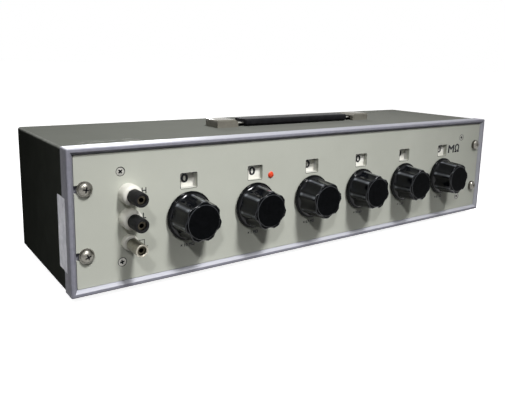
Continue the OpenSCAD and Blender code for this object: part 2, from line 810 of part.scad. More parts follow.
// the threaded sleeve turns on the post and carries the cap
module terminal_sleeve(p) {
    length = post_cap_l(p) - cap_front_t - 2 * cap_air;
    color("#d0ae58") on_panel(-post_x, post_height(p)) translate([0, 0, seat_l(p) + cap_air]) difference() {
        cylinder(d = sleeve_d, h = length);
        translate([0, 0, -cut]) cylinder(d = post_d + 2 * fit, h = length + 2 * cut);
    }
}

module terminal_cap(p) {
    length = post_cap_l(p) - post_gap(p);
    radius = post_cap_d(p) / 2;
    edge = 0.6;
    bore_d = sleeve_d + 2 * run_gap;
    color(p < 2 ? "#2b2c2e" : "#c8c8c4") on_panel(-post_x, post_height(p))
        translate([0, 0, seat_l(p) + cap_air + post_gap(p)]) difference() {
            rotate_extrude() polygon([
                [0, 0], [radius - edge, 0], [radius, edge], [radius, length - edge],
                [radius - edge, length], [0, length]
            ]);
            translate([0, 0, -cut]) cylinder(d = bore_d, h = length - cap_front_t + cut);
            cylinder(d = cap_mouth_d, h = length + cut);
        }
}

// a round skirt, a tapered grip with flutes that follow the taper, and a low disc on the front
module knob(k) {
    base_r = grip_base_d / 2;
    top_r = grip_top_d / 2;
    edge = skirt_t / 2;
    rim_h = knob_h - disc_h;
    taper = atan((base_r - top_r) / (rim_h - skirt_t));
    color("#1c1c1e") on_panel(knob_x(k), knob_z) translate([0, 0, knob_gap]) difference() {
        rotate_extrude() {
            square([skirt_d / 2 - edge, skirt_t]);
            translate([skirt_d / 2 - edge, edge]) circle(edge);
            polygon([
                [0, edge], [base_r, edge], [base_r, skirt_t],
                [top_r + grip_edge_r * tan(taper), rim_h - grip_edge_r],
                [top_r - grip_edge_r, rim_h], [0, rim_h]
            ]);
            translate([top_r - grip_edge_r, rim_h - grip_edge_r]) circle(grip_edge_r);
            square([disc_d / 2, knob_h]);
        }
        for (i = [0:flute_count - 1]) rotate(flute_turn + half_step(k) + i * 360 / flute_count)
            translate([base_r + flute_r - flute_depth, 0, skirt_t]) rotate([0, -taper, 0])
                cylinder(r = flute_r, h = 2 * knob_h);
        translate([0, 0, -cut]) cylinder(d = shaft_d + 2 * fit, h = knob_bore_l + cut);
    }
}

module shaft(k) {
    front = knob_gap + knob_bore_l - cut;
    color("#b4b4b0") on_panel(knob_x(k), knob_z) bar(shaft_d, wafer_back, -front);
}

// a flat disc for the figures, with a long hub that bears on the bushing
module dial(k) {
    hub_end = deck_face - flange_t - end_play;
    color("#f1f0ea") on_panel(knob_x(k), knob_z) difference() {
        union() {
            bar(dial_d, dial_face(k) + dial_t, dial_face(k));
            bar(hub_d, hub_end, dial_face(k));
        }
        bar(shaft_d + 2 * fit, hub_end + cut, dial_face(k) - cut);
    }
}

// a spring arm that sweeps the studs, with a collar behind the bushing
module wiper(k) {
    tip_d = wiper_w;
    color("#d0ae58") on_panel(knob_x(k), knob_z) difference() {
        union() {
            bar(collar_d, wafer_face - ring_t - wiper_air, bushing_end + end_play);
            translate([0, 0, -arm_face]) linear_extrude(wiper_t) {
                translate([-wiper_w / 2, 0]) square([wiper_w, contact_pr]);
                translate([0, contact_pr]) circle(d = tip_d);
            }
        }
        bar(shaft_d + 2 * fit, wafer_back, bushing_end);
    }
}

// the right-hand cap, drawn from its side view, with the mouth for the strap at its inner end
module end_cap() {
    edge = 2;
    far = handle_l / 2;
    inside_h = end_cap_h - end_cap_wall;
    mouth_w = strap_w + 2 * mouth_air;
    difference() {
        rotate([90, 0, 0]) translate([0, 0, -handle_w / 2]) linear_extrude(handle_w) {
            polygon([
                [cap_inner_x, 0], [far, 0], [far, end_cap_h - edge], [far - edge, end_cap_h],
                [cap_inner_x + end_cap_slope, end_cap_h], [cap_inner_x, end_cap_h - end_cap_drop]
            ]);
            translate([far - edge, end_cap_h - edge]) circle(edge);
        }
        translate([cap_inner_x + end_cap_slope, end_cap_wall - handle_w / 2, -cut])
            cube([end_cap_l - end_cap_slope - end_cap_wall, handle_w - 2 * end_cap_wall, inside_h + cut]);
        translate([cap_inner_x - cut, -mouth_w / 2, -cut])
            cube([end_cap_slope + 2 * cut, mouth_w, strap_air + strap_t + mouth_air + cut]);
    }
}

module handle_end_caps() {
    color("#c6c6c2") translate([handle_x, handle_mid_y, top_z]) for (side = [0, 1]) mirror([side, 0, 0])
        difference() {
            union() {
                end_cap();
                for (y = [-1, 1]) translate([cap_screw_x, y * cap_screw_pitch / 2, 0])
                    cylinder(d = boss_d, h = end_cap_h - end_cap_wall / 2);
            }
            for (y = [-1, 1]) translate([cap_screw_x, y * cap_screw_pitch / 2, -cut])
                cylinder(d = cap_screw_d + 2 * fit, h = end_cap_h - 2 * end_cap_wall + cut);
        }
}

module handle_screws() {
    length = sheet_t + end_cap_h - 3 * end_cap_wall;
    color("#c4c4c0") at_cap_screws() translate([0, 0, -sheet_t]) rotate([180, 0, 0])
        pan_screw(deck_head_d, deck_head_h, cap_screw_d, length);
}

// half of the steel strap, from inside the grip to its wide end in the cap
module handle_strap(side) {
    end_x = cap_inner_x + strap_in_l;
    start_x = grip_half_l - strap_grip_l;
    color("#bdbdb9") translate([handle_x, handle_mid_y, top_z + strap_air]) {
        translate([side < 0 ? -end_x : start_x, -strap_w / 2, 0])
            cube([end_x - start_x, strap_w, strap_t]);
        translate([side < 0 ? -end_x : end_x - strap_end_l, -strap_end_w / 2, 0])
            cube([strap_end_l, strap_end_w, strap_t]);
    }
}

// half of the moulded grip, with the slot that takes the strap
module handle_grip(side) {
    length = grip_half_l - flex_gap / 2;
    start_x = grip_half_l - strap_grip_l;
    color("#1f1f21") translate([handle_x, handle_mid_y, top_z]) difference() {
        translate([side < 0 ? -grip_half_l : flex_gap / 2, 0, grip_air + grip_t / 2]) rotate([90, 0, 90])
            linear_extrude(length) round_rect(handle_w, grip_t, grip_r);
        translate([side < 0 ? -grip_half_l - cut : start_x, -strap_w / 2, strap_air])
            cube([strap_grip_l + cut, strap_w, strap_t]);
    }
}

module rubber_feet() {
    color("#26262a") at_feet() difference() {
        cylinder(d1 = foot_base_d, d2 = foot_d, h = foot_h);
        translate([0, 0, -cut]) cylinder(d = foot_screw_d + 2 * fit, h = foot_h + 2 * cut);
        translate([0, 0, -cut]) cylinder(d = foot_head_d + 2 * fit, h = foot_head_h + cut);
    }
}

module foot_screws() {
    head_h = foot_head_h - cut / 2;
    color("#c4c4c0") at_feet() translate([0, 0, foot_head_h]) rotate([180, 0, 0])
        pan_screw(foot_head_d, head_h, foot_screw_d, foot_h - foot_head_h + sheet_t + foot_screw_d);
}

case_body();
front_bezel();
front_panel();
window_frames();
panel_screws();
panel_washers();
deck_standoffs();
standoff_screws();
switch_deck();
deck_screws();
switch_bushings();
bushing_nuts();
wafer_spacers();
stator_wafers();
switch_contacts();
decade_resistors();
lead_wires();
decimal_point();
terminal_insulators();
terminal_rear_washers();
terminal_studs();
terminal_nuts();
for (p = [0:2]) {
    terminal_cap(p);
    terminal_sleeve(p);
}
handle_end_caps();
handle_screws();
handle_strap(-1);  // handle_strap_left
handle_strap(1);  // handle_strap_right
handle_grip(-1);  // handle_grip_left
handle_grip(1);  // handle_grip_right
rubber_feet();
foot_screws();
for (k = [1:decades]) {
    knob(k);
    shaft(k);
    dial(k);
    wiper(k);
}
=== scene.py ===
import json
from math import cos, pi, radians, sin, sqrt
import bmesh
import bpy
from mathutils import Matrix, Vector


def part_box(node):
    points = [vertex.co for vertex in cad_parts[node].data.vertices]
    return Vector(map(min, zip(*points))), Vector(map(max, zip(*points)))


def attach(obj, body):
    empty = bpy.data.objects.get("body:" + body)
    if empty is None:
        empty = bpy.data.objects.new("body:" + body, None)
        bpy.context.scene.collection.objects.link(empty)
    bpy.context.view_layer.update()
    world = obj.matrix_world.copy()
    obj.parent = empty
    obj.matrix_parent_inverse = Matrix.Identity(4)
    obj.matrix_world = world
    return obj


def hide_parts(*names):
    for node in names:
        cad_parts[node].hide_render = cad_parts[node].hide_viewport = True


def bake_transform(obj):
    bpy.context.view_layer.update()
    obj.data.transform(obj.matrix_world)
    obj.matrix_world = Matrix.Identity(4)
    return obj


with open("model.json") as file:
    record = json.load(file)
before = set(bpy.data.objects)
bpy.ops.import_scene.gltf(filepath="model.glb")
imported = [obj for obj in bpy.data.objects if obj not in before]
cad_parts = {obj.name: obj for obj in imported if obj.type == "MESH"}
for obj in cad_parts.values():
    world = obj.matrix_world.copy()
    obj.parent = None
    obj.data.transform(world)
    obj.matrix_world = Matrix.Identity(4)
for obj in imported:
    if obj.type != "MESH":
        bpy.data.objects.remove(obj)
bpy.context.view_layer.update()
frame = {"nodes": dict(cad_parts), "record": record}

mm = 0.001
scene = bpy.context.scene
nodes = frame["nodes"]
standUp = (pi / 2, 0, 0)  # drawn flat, then stood up against the panel
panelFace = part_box("front_panel")[0].y
inkLift = 0.01 * mm  # print lies a hair in front of what it is on
inkFace = panelFace - inkLift
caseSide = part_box("case_body")[0].x / mm
print("frame loaded:", len(nodes), "nodes")


# ways of working

def setMode(mode):
    bpy.ops.object.mode_set(mode=mode)


def clearSelection():
    if bpy.context.mode != "OBJECT":
        setMode("OBJECT")
    bpy.ops.object.select_all(action="DESELECT")


def take(piece):
    clearSelection()
    piece.select_set(True)
    bpy.context.view_layer.objects.active = piece


def applyPlace():
    bpy.ops.object.transform_apply(location=True, rotation=True, scale=True)


def named(piece, name):
    piece.name = piece.data.name = name
    return piece


def startEditing(name):
    piece = named(bpy.context.object, name)
    setMode("EDIT")
    return piece


def addBlock(name, low, high):  # corners in mm
    clearSelection()
    middle = [(a + b) / 2 * mm for a, b in zip(low, high)]
    size = [(b - a) * mm for a, b in zip(low, high)]
    bpy.ops.mesh.primitive_cube_add(size=1, location=middle, scale=size)
    applyPlace()
    return startEditing(name)


def reopen(piece):
    take(piece)
    setMode("EDIT")


def pickWhere(piece, kind, test):
    bpy.ops.mesh.select_mode(type=kind)
    bpy.ops.mesh.select_all(action="DESELECT")
    mesh = bmesh.from_edit_mesh(piece.data)
    parts = {"VERT": mesh.verts, "EDGE": mesh.edges, "FACE": mesh.faces}[kind]
    parts.index_update()
    for part in parts:
        part.select_set(bool(test(part)))
    if kind == "VERT":
        mesh.select_flush(True)
    bmesh.update_edit_mesh(piece.data)


def pickFaces(piece, test):
    pickWhere(piece, "FACE", lambda face: test(face.calc_center_median() / mm, face.normal))


def pickEdges(piece, test):
    pickWhere(piece, "EDGE", lambda edge: test(edge.verts[0].co / mm, edge.verts[1].co / mm))


def pickPlaces(piece, test):
    pickWhere(piece, "VERT", lambda point: test(point.co / mm))


def pickPoints(piece, wanted):  # by number
    wanted = set(wanted)
    pickWhere(piece, "VERT", lambda point: point.index in wanted)


def pickAll():
    bpy.ops.mesh.select_all(action="SELECT")


def near(a, b, reach=0.02):
    return abs(a - b) < reach


def alongX(a, b):  # for the edges that run from left to right
    return near(a.y, b.y) and near(a.z, b.z)


def move(x, y, z):
    bpy.ops.transform.translate(value=(x * mm, y * mm, z * mm))


def pull(x, y, z):
    bpy.ops.mesh.extrude_region_move(TRANSFORM_OT_translate={"value": (x * mm, y * mm, z * mm)})


def inset(width, depth=0.0):
    bpy.ops.mesh.inset(thickness=width * mm, depth=depth * mm, use_even_offset=True)


def roundOff(width, steps=3):
    bpy.ops.mesh.bevel(offset=width * mm, segments=steps, profile=0.5, affect="EDGES", clamp_overlap=True)


def stopEditing():
    pickAll()
    bpy.ops.mesh.normals_make_consistent(inside=False)
    setMode("OBJECT")


def settle(piece, place=(0, 0, 0), turn=(0, 0, 0)):
    take(piece)
    piece.location = place
    piece.rotation_euler = turn
    applyPlace()
    return piece


def copyOf(piece, name):
    take(piece)
    bpy.ops.object.duplicate(linked=False)
    return named(bpy.context.object, name)


def mirrored(piece):  # left to right
    take(piece)
    piece.scale.x = -1
    applyPlace()
    setMode("EDIT")
    stopEditing()
    return piece


def discard(*pieces):
    for piece in pieces:
        bpy.data.objects.remove(piece, do_unlink=True)


def joinAs(name, pieces):
    take(pieces[0])
    for piece in pieces:
        piece.select_set(True)
    bpy.ops.object.join()
    return named(bpy.context.object, name)


def smoothed(piece, angle=32):
    take(piece)
    bpy.ops.object.shade_smooth_by_angle(angle=radians(angle))
    return piece


def dressed(piece, finish, body="box", instead=()):
    if finish:
        piece.data.materials.clear()
        piece.data.materials.append(finishes[finish])
    if instead:
        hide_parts(*instead)
    if body:
        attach(piece, body)
    return piece


def arcPoints(middle, height, radius, start, stop, steps):  # part of a profile, angles in degrees
    turns = [radians(start + (stop - start) * i / steps) for i in range(steps + 1)]
    return [(middle + radius * cos(t), height + radius * sin(t)) for t in turns]


def domePoints(radius, base, top, shares):  # a shallow dome, from its edge inwards
    rise = top - base
    dome = (radius ** 2 + rise ** 2) / (2 * rise)
    return [(radius * s, top - dome + sqrt(dome ** 2 - (radius * s) ** 2)) for s in shares]


def turned(name, profile, sides=64, ring=False):  # profile of radius and height in mm
    clearSelection()
    radius, height = profile[0]
    bpy.ops.mesh.primitive_circle_add(vertices=sides, radius=radius * mm, fill_type="NOTHING")
    piece = startEditing(name)
    bpy.ops.mesh.select_mode(type="VERT")
    pickAll()
    move(0, 0, height)
    for nextRadius, nextHeight in profile[1:]:
        pull(0, 0, nextHeight - height)
        grow = nextRadius / radius
        bpy.ops.transform.resize(value=(grow, grow, 1), center_override=(0, 0, nextHeight * mm))
        radius, height = nextRadius, nextHeight
    count = len(profile) * sides
    if ring:  # a hollow piece: the last ring meets the first
        pickPoints(piece, list(range(sides)) + list(range(count - sides, count)))
        bpy.ops.mesh.select_mode(type="EDGE")
        bpy.ops.mesh.bridge_edge_loops()
    else:
        for first in (0, count - sides):
            pickPoints(piece, range(first, first + sides))
            bpy.ops.mesh.edge_face_add()
    stopEditing()
    return piece


def cutBy(piece, cutter):
    take(piece)
    cut = piece.modifiers.new("cut", "BOOLEAN")
    cut.operation = "DIFFERENCE"
    cut.solver = "EXACT"
    cut.object = cutter
    bpy.ops.object.modifier_apply(modifier=cut.name)
    discard(cutter)
    return piece


def fourSpots(box, reach, second):  # in from the corners, along x and a second axis
    low, high = box
    return [(a, b) for a in (low.x + reach, high.x - reach)
            for b in (low[second] + reach, high[second] - reach)]


def middleOf(node):
    low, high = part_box(node)
    return (low + high) / 2


def addNode(tree, kind, **values):
    node = tree.nodes.new("ShaderNode" + kind)
    for name, value in values.items():
        node.inputs[name].default_value = value
    return node


def addRange(tree, source, low, high, start=0.0, stop=1.0):
    limits = {"From Min": low, "From Max": high, "To Min": start, "To Max": stop}
    level = addNode(tree, "MapRange", **limits)
    tree.links.new(source, level.inputs["Value"])
    return level.outputs[0]


def addMath(tree, operation, first, second):
    node = addNode(tree, "Math")
    node.operation = operation
    for socket, value in zip(node.inputs, (first, second)):
        if isinstance(value, (int, float)):
            socket.default_value = value
        else:
            tree.links.new(value, socket)
    return node.outputs[0]


def product(tree, *values):
    total = values[0]
    for value in values[1:]:
        total = addMath(tree, "MULTIPLY", total, value)
    return total


# camera, light and floor

cameraLook = {"place": (-0.39102, -0.48520, 0.19474), "turn": (79.563, -1.375, -35.799),
              "lens": 39.867, "shift": (-0.0239, -0.0836)}


def setCamera(look):
    clearSelection()
    bpy.ops.object.camera_add(location=look["place"], rotation=[radians(a) for a in look["turn"]])
    camera = bpy.context.object
    camera.data.sensor_width = 36
    camera.data.lens = look["lens"]
    camera.data.shift_x, camera.data.shift_y = look["shift"]
    camera.data.clip_start, camera.data.clip_end = 0.01, 100
    scene.camera = camera


lampLook = {
    "ceilingLamp": {"place": (0.06, -2.06, 2.85), "aim": (-0.15, -0.06, 0.06), "watts": 562,
                    "radius": 0.31, "angle": 19.8, "soft": 1.0},
    "sideLamp": {"place": (-1.57, -2.10, 1.96), "aim": (-0.02, -0.13, 0.03), "watts": 118,
                 "radius": 0.1, "angle": 12.9, "soft": 0.6},
    "backLamp": {"place": (0.7, 2.4, 0.9), "aim": (0.0, 0.05, 0.06), "watts": 190,
                 "radius": 0.3, "angle": 30, "soft": 0.6},
}


def setLamps(looks):
    for name, look in looks.items():
        aim = Vector(look["aim"]) - Vector(look["place"])
        clearSelection()
        bpy.ops.object.light_add(type="SPOT", location=look["place"],
                                 rotation=aim.to_track_quat("-Z", "Y").to_euler())
        lamp = bpy.context.object
        lamp.name = name
        lamp.data.energy = look["watts"]
        lamp.data.shadow_soft_size = look["radius"]
        lamp.data.spot_size = radians(look["angle"])
        lamp.data.spot_blend = look["soft"]


roomLook = {"light": (1.0, 1.0, 0.99), "towards": (0.66, -0.12, 0.74), "from": 0.0,
            "dim": 0.0, "bright": 0.56}


def seenDirectly(tree):  # by the camera, in mirrors or through glass
    path = addNode(tree, "LightPath").outputs
    straight = addMath(tree, "MAXIMUM", path["Is Camera Ray"], path["Is Glossy Ray"])
    return addMath(tree, "MAXIMUM", straight, path["Is Transmission Ray"])


def setRoom(look):
    world = bpy.data.worlds.new("room")
    scene.world = world
    world.use_nodes = True
    tree = world.node_tree
    link = tree.links.new
    tree.nodes.clear()
    out = addNode(tree, "OutputWorld")
    mix = addNode(tree, "MixShader")
    coords = addNode(tree, "TexCoord")
    along = addNode(tree, "VectorMath")
    along.operation = "DOT_PRODUCT"
    along.inputs[1].default_value = look["towards"]
    link(coords.outputs["Generated"], along.inputs[0])
    # light comes from above on the right, and none from the other side
    level = addRange(tree, along.outputs["Value"], look["from"], 1, look["dim"], look["bright"])
    light = addNode(tree, "Background", Color=(*look["light"], 1))
    white = addNode(tree, "Background", Color=(1, 1, 1, 1))
    link(level, light.inputs["Strength"])
    link(seenDirectly(tree), mix.inputs["Fac"])
    link(light.outputs[0], mix.inputs[1])
    link(white.outputs[0], mix.inputs[2])
    link(mix.outputs[0], out.inputs["Surface"])


floorLook = {"half": 14, "pale": 0.04, "glow": 0.92, "shade": 0.62}


def setFloor(look):
    clearSelection()
    bpy.ops.mesh.primitive_plane_add(size=2 * look["half"], location=(0, 0, 0))
    floor = bpy.context.object
    floor.name = "floor"
    finish = bpy.data.materials.new("paleFloor")
    finish.use_nodes = True
    tree = finish.node_tree
    link = tree.links.new
    tree.nodes.clear()
    out = addNode(tree, "OutputMaterial")
    mix = addNode(tree, "MixShader")
    both = addNode(tree, "AddShader")
    glow = addNode(tree, "Emission", Strength=look["glow"])
    pale = addNode(tree, "BsdfDiffuse", Color=(look["pale"],) * 3 + (1,))  # throws little light back up
    shade = addNode(tree, "BsdfDiffuse", Color=(look["shade"],) * 3 + (1,))
    link(glow.outputs[0], both.inputs[0])
    link(shade.outputs[0], both.inputs[1])
    link(seenDirectly(tree), mix.inputs["Fac"])
    link(pale.outputs[0], mix.inputs[1])
    link(both.outputs[0], mix.inputs[2])
    link(mix.outputs[0], out.inputs["Surface"])
    floor.data.materials.append(finish)


setCamera(cameraLook)
setLamps(lampLook)
setRoom(roomLook)
setFloor(floorLook)
scene.view_settings.view_transform = "Standard"
print("camera, lamps and floor are set")


# finishes

def tone(red, green, blue):
    values = [v / 255 for v in (red, green, blue)]
    return [v / 12.92 if v <= 0.04045 else ((v + 0.055) / 1.055) ** 2.4 for v in values] + [1]


def addNoise(tree, source, scale, detail, stretch=(1, 1, 1)):
    mapping = addNode(tree, "Mapping", Scale=stretch)
    noise = addNode(tree, "TexNoise", Scale=scale, Detail=detail, Roughness=0.6)
    tree.links.new(source, mapping.inputs["Vector"])
    tree.links.new(mapping.outputs[0], noise.inputs["Vector"])
    return noise.outputs["Fac"]


patchRange = (0.36, 0.64)  # of the noise, from the dark colour to the light one
grainRange = (0.3, 0.7)


def makeFinish(name, look):
    finish = bpy.data.materials.new(name)
    finish.use_nodes = True
    tree = finish.node_tree
    link = tree.links.new
    shader = tree.nodes["Principled BSDF"]
    coords = addNode(tree, "TexCoord").outputs["Object"]
    stretch = look.get("stretch", (1, 1, 1))
    patches = addNoise(tree, coords, look["patches"], 6, stretch)
    colours = addNode(tree, "ValToRGB")
    for stop, place, colour in zip(colours.color_ramp.elements, patchRange, (look["dark"], look["light"])):
        stop.position = place
        stop.color = tone(*colour)
    link(patches, colours.inputs["Fac"])
    link(colours.outputs["Color"], shader.inputs["Base Color"])
    grain = addNoise(tree, coords, look["grain"], 3, stretch)
    link(addRange(tree, grain, *grainRange, *look["rough"]), shader.inputs["Roughness"])
    bump = addNode(tree, "Bump", Strength=look.get("bump", 0.1), Distance=look.get("depth", 0.05) * mm)
    link(grain, bump.inputs["Height"])
    link(bump.outputs["Normal"], shader.inputs["Normal"])
    shader.inputs["Metallic"].default_value = look.get("metal", 0)
    shader.inputs["Specular IOR Level"].default_value = look.get("specular", 0.5)
    shader.inputs["Coat Weight"].default_value = look.get("coat", 0)
    shader.inputs["Coat Roughness"].default_value = 0.1
    return finish


def layOver(finish, mask, colour):  # a second colour where the mask is 1
    tree = finish.node_tree
    shader = tree.nodes["Principled BSDF"]
    under = shader.inputs["Base Color"].links[0].from_socket
    mix = addNode(tree, "Mix")
    mix.data_type = "RGBA"
    mix.inputs["B"].default_value = tone(*colour)
    tree.links.new(mask, mix.inputs["Factor"])
    tree.links.new(under, mix.inputs["A"])
    tree.links.new(mix.outputs["Result"], shader.inputs["Base Color"])


finishLooks = {
    "casePaint": {"light": (84, 87, 81), "dark": (78, 81, 75), "patches": 46, "grain": 1300,
                  "rough": (0.58, 0.70), "bump": 0.5, "depth": 0.12, "specular": 0.0},
    "bezelMetal": {"light": (136, 136, 146), "dark": (127, 127, 137), "patches": 260, "grain": 2400,
                   "rough": (0.40, 0.50), "bump": 0.08, "metal": 0.06, "specular": 0.04},
    "panelPaint": {"light": (187, 189, 179), "dark": (182, 184, 174), "patches": 14, "grain": 1500,
                   "rough": (0.50, 0.60), "specular": 0.05},
    "frameGrey": {"light": (196, 196, 192), "dark": (184, 184, 180), "patches": 120, "grain": 1600,
                  "rough": (0.5, 0.6), "specular": 0.2},
    "zincSteel": {"light": (122, 120, 114), "dark": (102, 100, 94), "patches": 900, "grain": 2600,
                  "rough": (0.26, 0.40), "metal": 1},
    "paleZinc": {"light": (190, 189, 182), "dark": (168, 167, 160), "patches": 900, "grain": 2600,
                 "rough": (0.36, 0.48), "metal": 0.2},
    "wornNickel": {"light": (152, 149, 139), "dark": (136, 132, 122), "patches": 500, "grain": 2200,
                   "rough": (0.32, 0.44), "metal": 1},
    "capNickel": {"light": (122, 120, 111), "dark": (112, 109, 101), "patches": 160, "grain": 2600,
                  "rough": (0.24, 0.32), "bump": 0.05, "specular": 0.12},
    "strapSteel": {"light": (198, 197, 190), "dark": (168, 166, 158), "patches": 300, "grain": 1800,
                   "rough": (0.25, 0.36), "metal": 1, "stretch": (0.08, 1, 1)},
    "brass": {"light": (214, 180, 98), "dark": (176, 140, 70), "patches": 400, "grain": 2400,
              "rough": (0.24, 0.36), "metal": 1},
    # dark brass: painted shade for the studs and sleeves seen in the socket mouths
    "shadedBrass": {"light": (72, 68, 58), "dark": (44, 41, 35), "patches": 400, "grain": 2400,
                 "rough": (0.30, 0.42), "metal": 1},
    "copperWire": {"light": (206, 128, 84), "dark": (160, 92, 58), "patches": 300, "grain": 2000,
                   "rough": (0.25, 0.4), "metal": 1},
    "deckSheet": {"light": (112, 72, 44), "dark": (80, 48, 28), "patches": 50, "grain": 1200,
                  "rough": (0.4, 0.55), "bump": 0.15, "stretch": (0.25, 1, 1)},
    "waferSheet": {"light": (212, 194, 146), "dark": (188, 168, 118), "patches": 240, "grain": 1600,
                   "rough": (0.45, 0.6), "bump": 0.15},
    "resistorCoat": {"light": (134, 152, 96), "dark": (104, 124, 72), "patches": 500, "grain": 1500,
                     "rough": (0.2, 0.34), "coat": 0.4},
    "pointOrange": {"light": (220, 74, 38), "dark": (200, 58, 30), "patches": 400, "grain": 1800,
                    "rough": (0.22, 0.32), "bump": 0.05, "specular": 0.3},
    "whiteMoulding": {"light": (220, 219, 211), "dark": (212, 210, 201), "patches": 160, "grain": 1500,
                      "rough": (0.30, 0.42), "bump": 0.06, "specular": 0.3},
    "charcoalMoulding": {"light": (36, 36, 37), "dark": (27, 27, 28), "patches": 400, "grain": 2200,
                         "rough": (0.36, 0.5), "bump": 0.12, "specular": 0.05},
    "blackBakelite": {"light": (12, 14, 19), "dark": (6, 7, 10), "patches": 180, "grain": 1700,
                      "rough": (0.07, 0.14), "bump": 0.03, "specular": 0.2},
    "dullBakelite": {"light": (11, 12, 14), "dark": (6, 7, 8), "patches": 180, "grain": 1700,
                     "rough": (0.16, 0.26), "bump": 0.05, "specular": 0.01},
    "skirtBakelite": {"light": (10, 11, 12), "dark": (5, 6, 7), "patches": 180, "grain": 1700,
                      "rough": (0.09, 0.16), "bump": 0.03, "specular": 0.1},
    "dialWhite": {"light": (240, 239, 233), "dark": (232, 230, 221), "patches": 90, "grain": 1500,
                  "rough": (0.5, 0.6), "bump": 0.08, "specular": 0.2},
    "gripBlack": {"light": (30, 30, 32), "dark": (20, 20, 22), "patches": 220, "grain": 1500,
                  "rough": (0.34, 0.48), "bump": 0.25, "depth": 0.08, "specular": 0.05},
    "footRubber": {"light": (42, 42, 43), "dark": (28, 28, 29), "patches": 200, "grain": 1300,
                   "rough": (0.6, 0.75), "bump": 0.3, "specular": 0.2},
    "printInk": {"light": (30, 31, 36), "dark": (20, 20, 24), "patches": 700, "grain": 2500,
                 "rough": (0.45, 0.6), "specular": 0.2},
    "plainPaper": {"light": (206, 206, 220), "dark": (160, 161, 180), "patches": 90, "grain": 1600,
                   "rough": (0.30, 0.42), "bump": 0.15, "specular": 0.4},
}
finishes = {name: makeFinish(name, look) for name, look in finishLooks.items()}


def axesOf(tree, source):
    parts = addNode(tree, "SeparateXYZ")
    tree.links.new(source, parts.inputs[0])
    return parts.outputs


def facing(tree, axis, low, high):  # by the way a surface faces
    return addRange(tree, axesOf(tree, addNode(tree, "TexCoord").outputs["Normal"])[axis], low, high)


# the top is painted lighter, partly dusty paint and partly painted sheen and top light; the fold is worn
# paint with a painted edge highlight
caseWearAndSheenLook = {"side": 268.5, "top": 125.0, "dustAndSheenTone": (113, 114, 109), "dustAndSheenX": (-270, 190),
                "dustAndSheenLevel": (0.55, 1.0), "fold": 2.2, "sharp": 0.4, "foldWearAndHighlightTone": (156, 157, 152),
                "foldPatches": 120, "foldWearAndHighlightLevel": (0.45, 1.0), "scratchTone": (158, 158, 152),
                "scratchX": (-252, -196), "scratchY": (-47, -24), "scratchTop": (0.5, 0.2),
                "scratchFade": 6, "scratchLines": 420, "scratchStretch": (0.09, 1, 0.3),
                "dustAndSheenFacing": (0.6, 0.9), "foldRange": (0.3, 0.6), "scratchRange": (0.57, 0.61)}


def addCaseWear(finish, look):  # lighter upward faces, more so to the right, from dusty paint and a painted sheen; a fold along each side of the top, lighter from worn paint and a painted edge highlight; a few light scratches
    tree = finish.node_tree
    place = addNode(tree, "TexCoord").outputs["Object"]
    axes = axesOf(tree, place)
    x, z = axes["X"], axes["Z"]
    side, top, fold, sharp = look["side"], look["top"], look["fold"], look["sharp"]
    start, stop = look["dustAndSheenX"]
    # upward faces painted lighter towards the right: dusty paint and painted sheen
    dustAndSheen = addRange(tree, x, start * mm, stop * mm, *look["dustAndSheenLevel"])
    layOver(finish, product(tree, facing(tree, "Z", *look["dustAndSheenFacing"]), dustAndSheen), look["dustAndSheenTone"])
    across = addMath(tree, "ABSOLUTE", x, 0)
    # the fold along each side of the top: worn paint and a painted edge highlight, in patches
    atSide = addRange(tree, across, (side - fold) * mm, (side - sharp) * mm)
    atTop = addRange(tree, z, (top - fold) * mm, (top - sharp) * mm)
    patches = addNoise(tree, place, look["foldPatches"], 4)
    brightened = addRange(tree, patches, *look["foldRange"], *look["foldWearAndHighlightLevel"])
    layOver(finish, product(tree, atSide, atTop, brightened), look["foldWearAndHighlightTone"])
    lines = addNoise(tree, place, look["scratchLines"], 2, look["scratchStretch"])
    below, above = look["scratchTop"]
    area = addRange(tree, z, (top - below) * mm, (top - above) * mm)
    fade = look["scratchFade"]
    for key, (low, high) in {"X": look["scratchX"], "Y": look["scratchY"]}.items():
        area = product(tree, area, addRange(tree, axes[key], low * mm, (low + fade) * mm))
        area = product(tree, area, addRange(tree, axes[key], high * mm, (high - fade) * mm))
    layOver(finish, product(tree, addRange(tree, lines, *look["scratchRange"]), area), look["scratchTone"])


# colour of the painted highlights on the knobs' ridges, rim and disc edge
knobHighlightTone = (132, 136, 142)


def addKnobWear(finish, colour):  # reads the painted highlights marked on the knob's own mesh
    knobHighlight = addNode(finish.node_tree, "Attribute")
    knobHighlight.attribute_name = "knobHighlight"
    layOver(finish, knobHighlight.outputs["Fac"], colour)


# colour and reach of the painted highlight on the bezel
bezelHighlightLook = {"tone": (178, 179, 187), "upper": 105, "fadeX": (-240, 60), "faded": 0.7, "right": 200}


def addBezelRub(finish, look):  # painted highlight: the upward faces are painted brighter, the top bar less so to the right, and the inner faces at the right end too
    tree = finish.node_tree
    axes = axesOf(tree, addNode(tree, "TexCoord").outputs["Object"])
    x, z = axes["X"], axes["Z"]
    onTop = addRange(tree, z, look["upper"] * mm, (look["upper"] + 1) * mm)
    start, stop = look["fadeX"]
    faded = product(tree, onTop, addRange(tree, x, start * mm, stop * mm, 0, look["faded"]))
    brightened = product(tree, facing(tree, "Z", 0.2, 0.65), addMath(tree, "SUBTRACT", 1, faded))
    onRight = addRange(tree, x, look["right"] * mm, (look["right"] + 1) * mm)
    inner = product(tree, onRight, facing(tree, "X", -0.2, -0.65))
    layOver(finish, addMath(tree, "MAXIMUM", brightened, inner), look["tone"])


addCaseWear(finishes["casePaint"], caseWearAndSheenLook)
addKnobWear(finishes["blackBakelite"], knobHighlightTone)
addBezelRub(finishes["bezelMetal"], bezelHighlightLook)

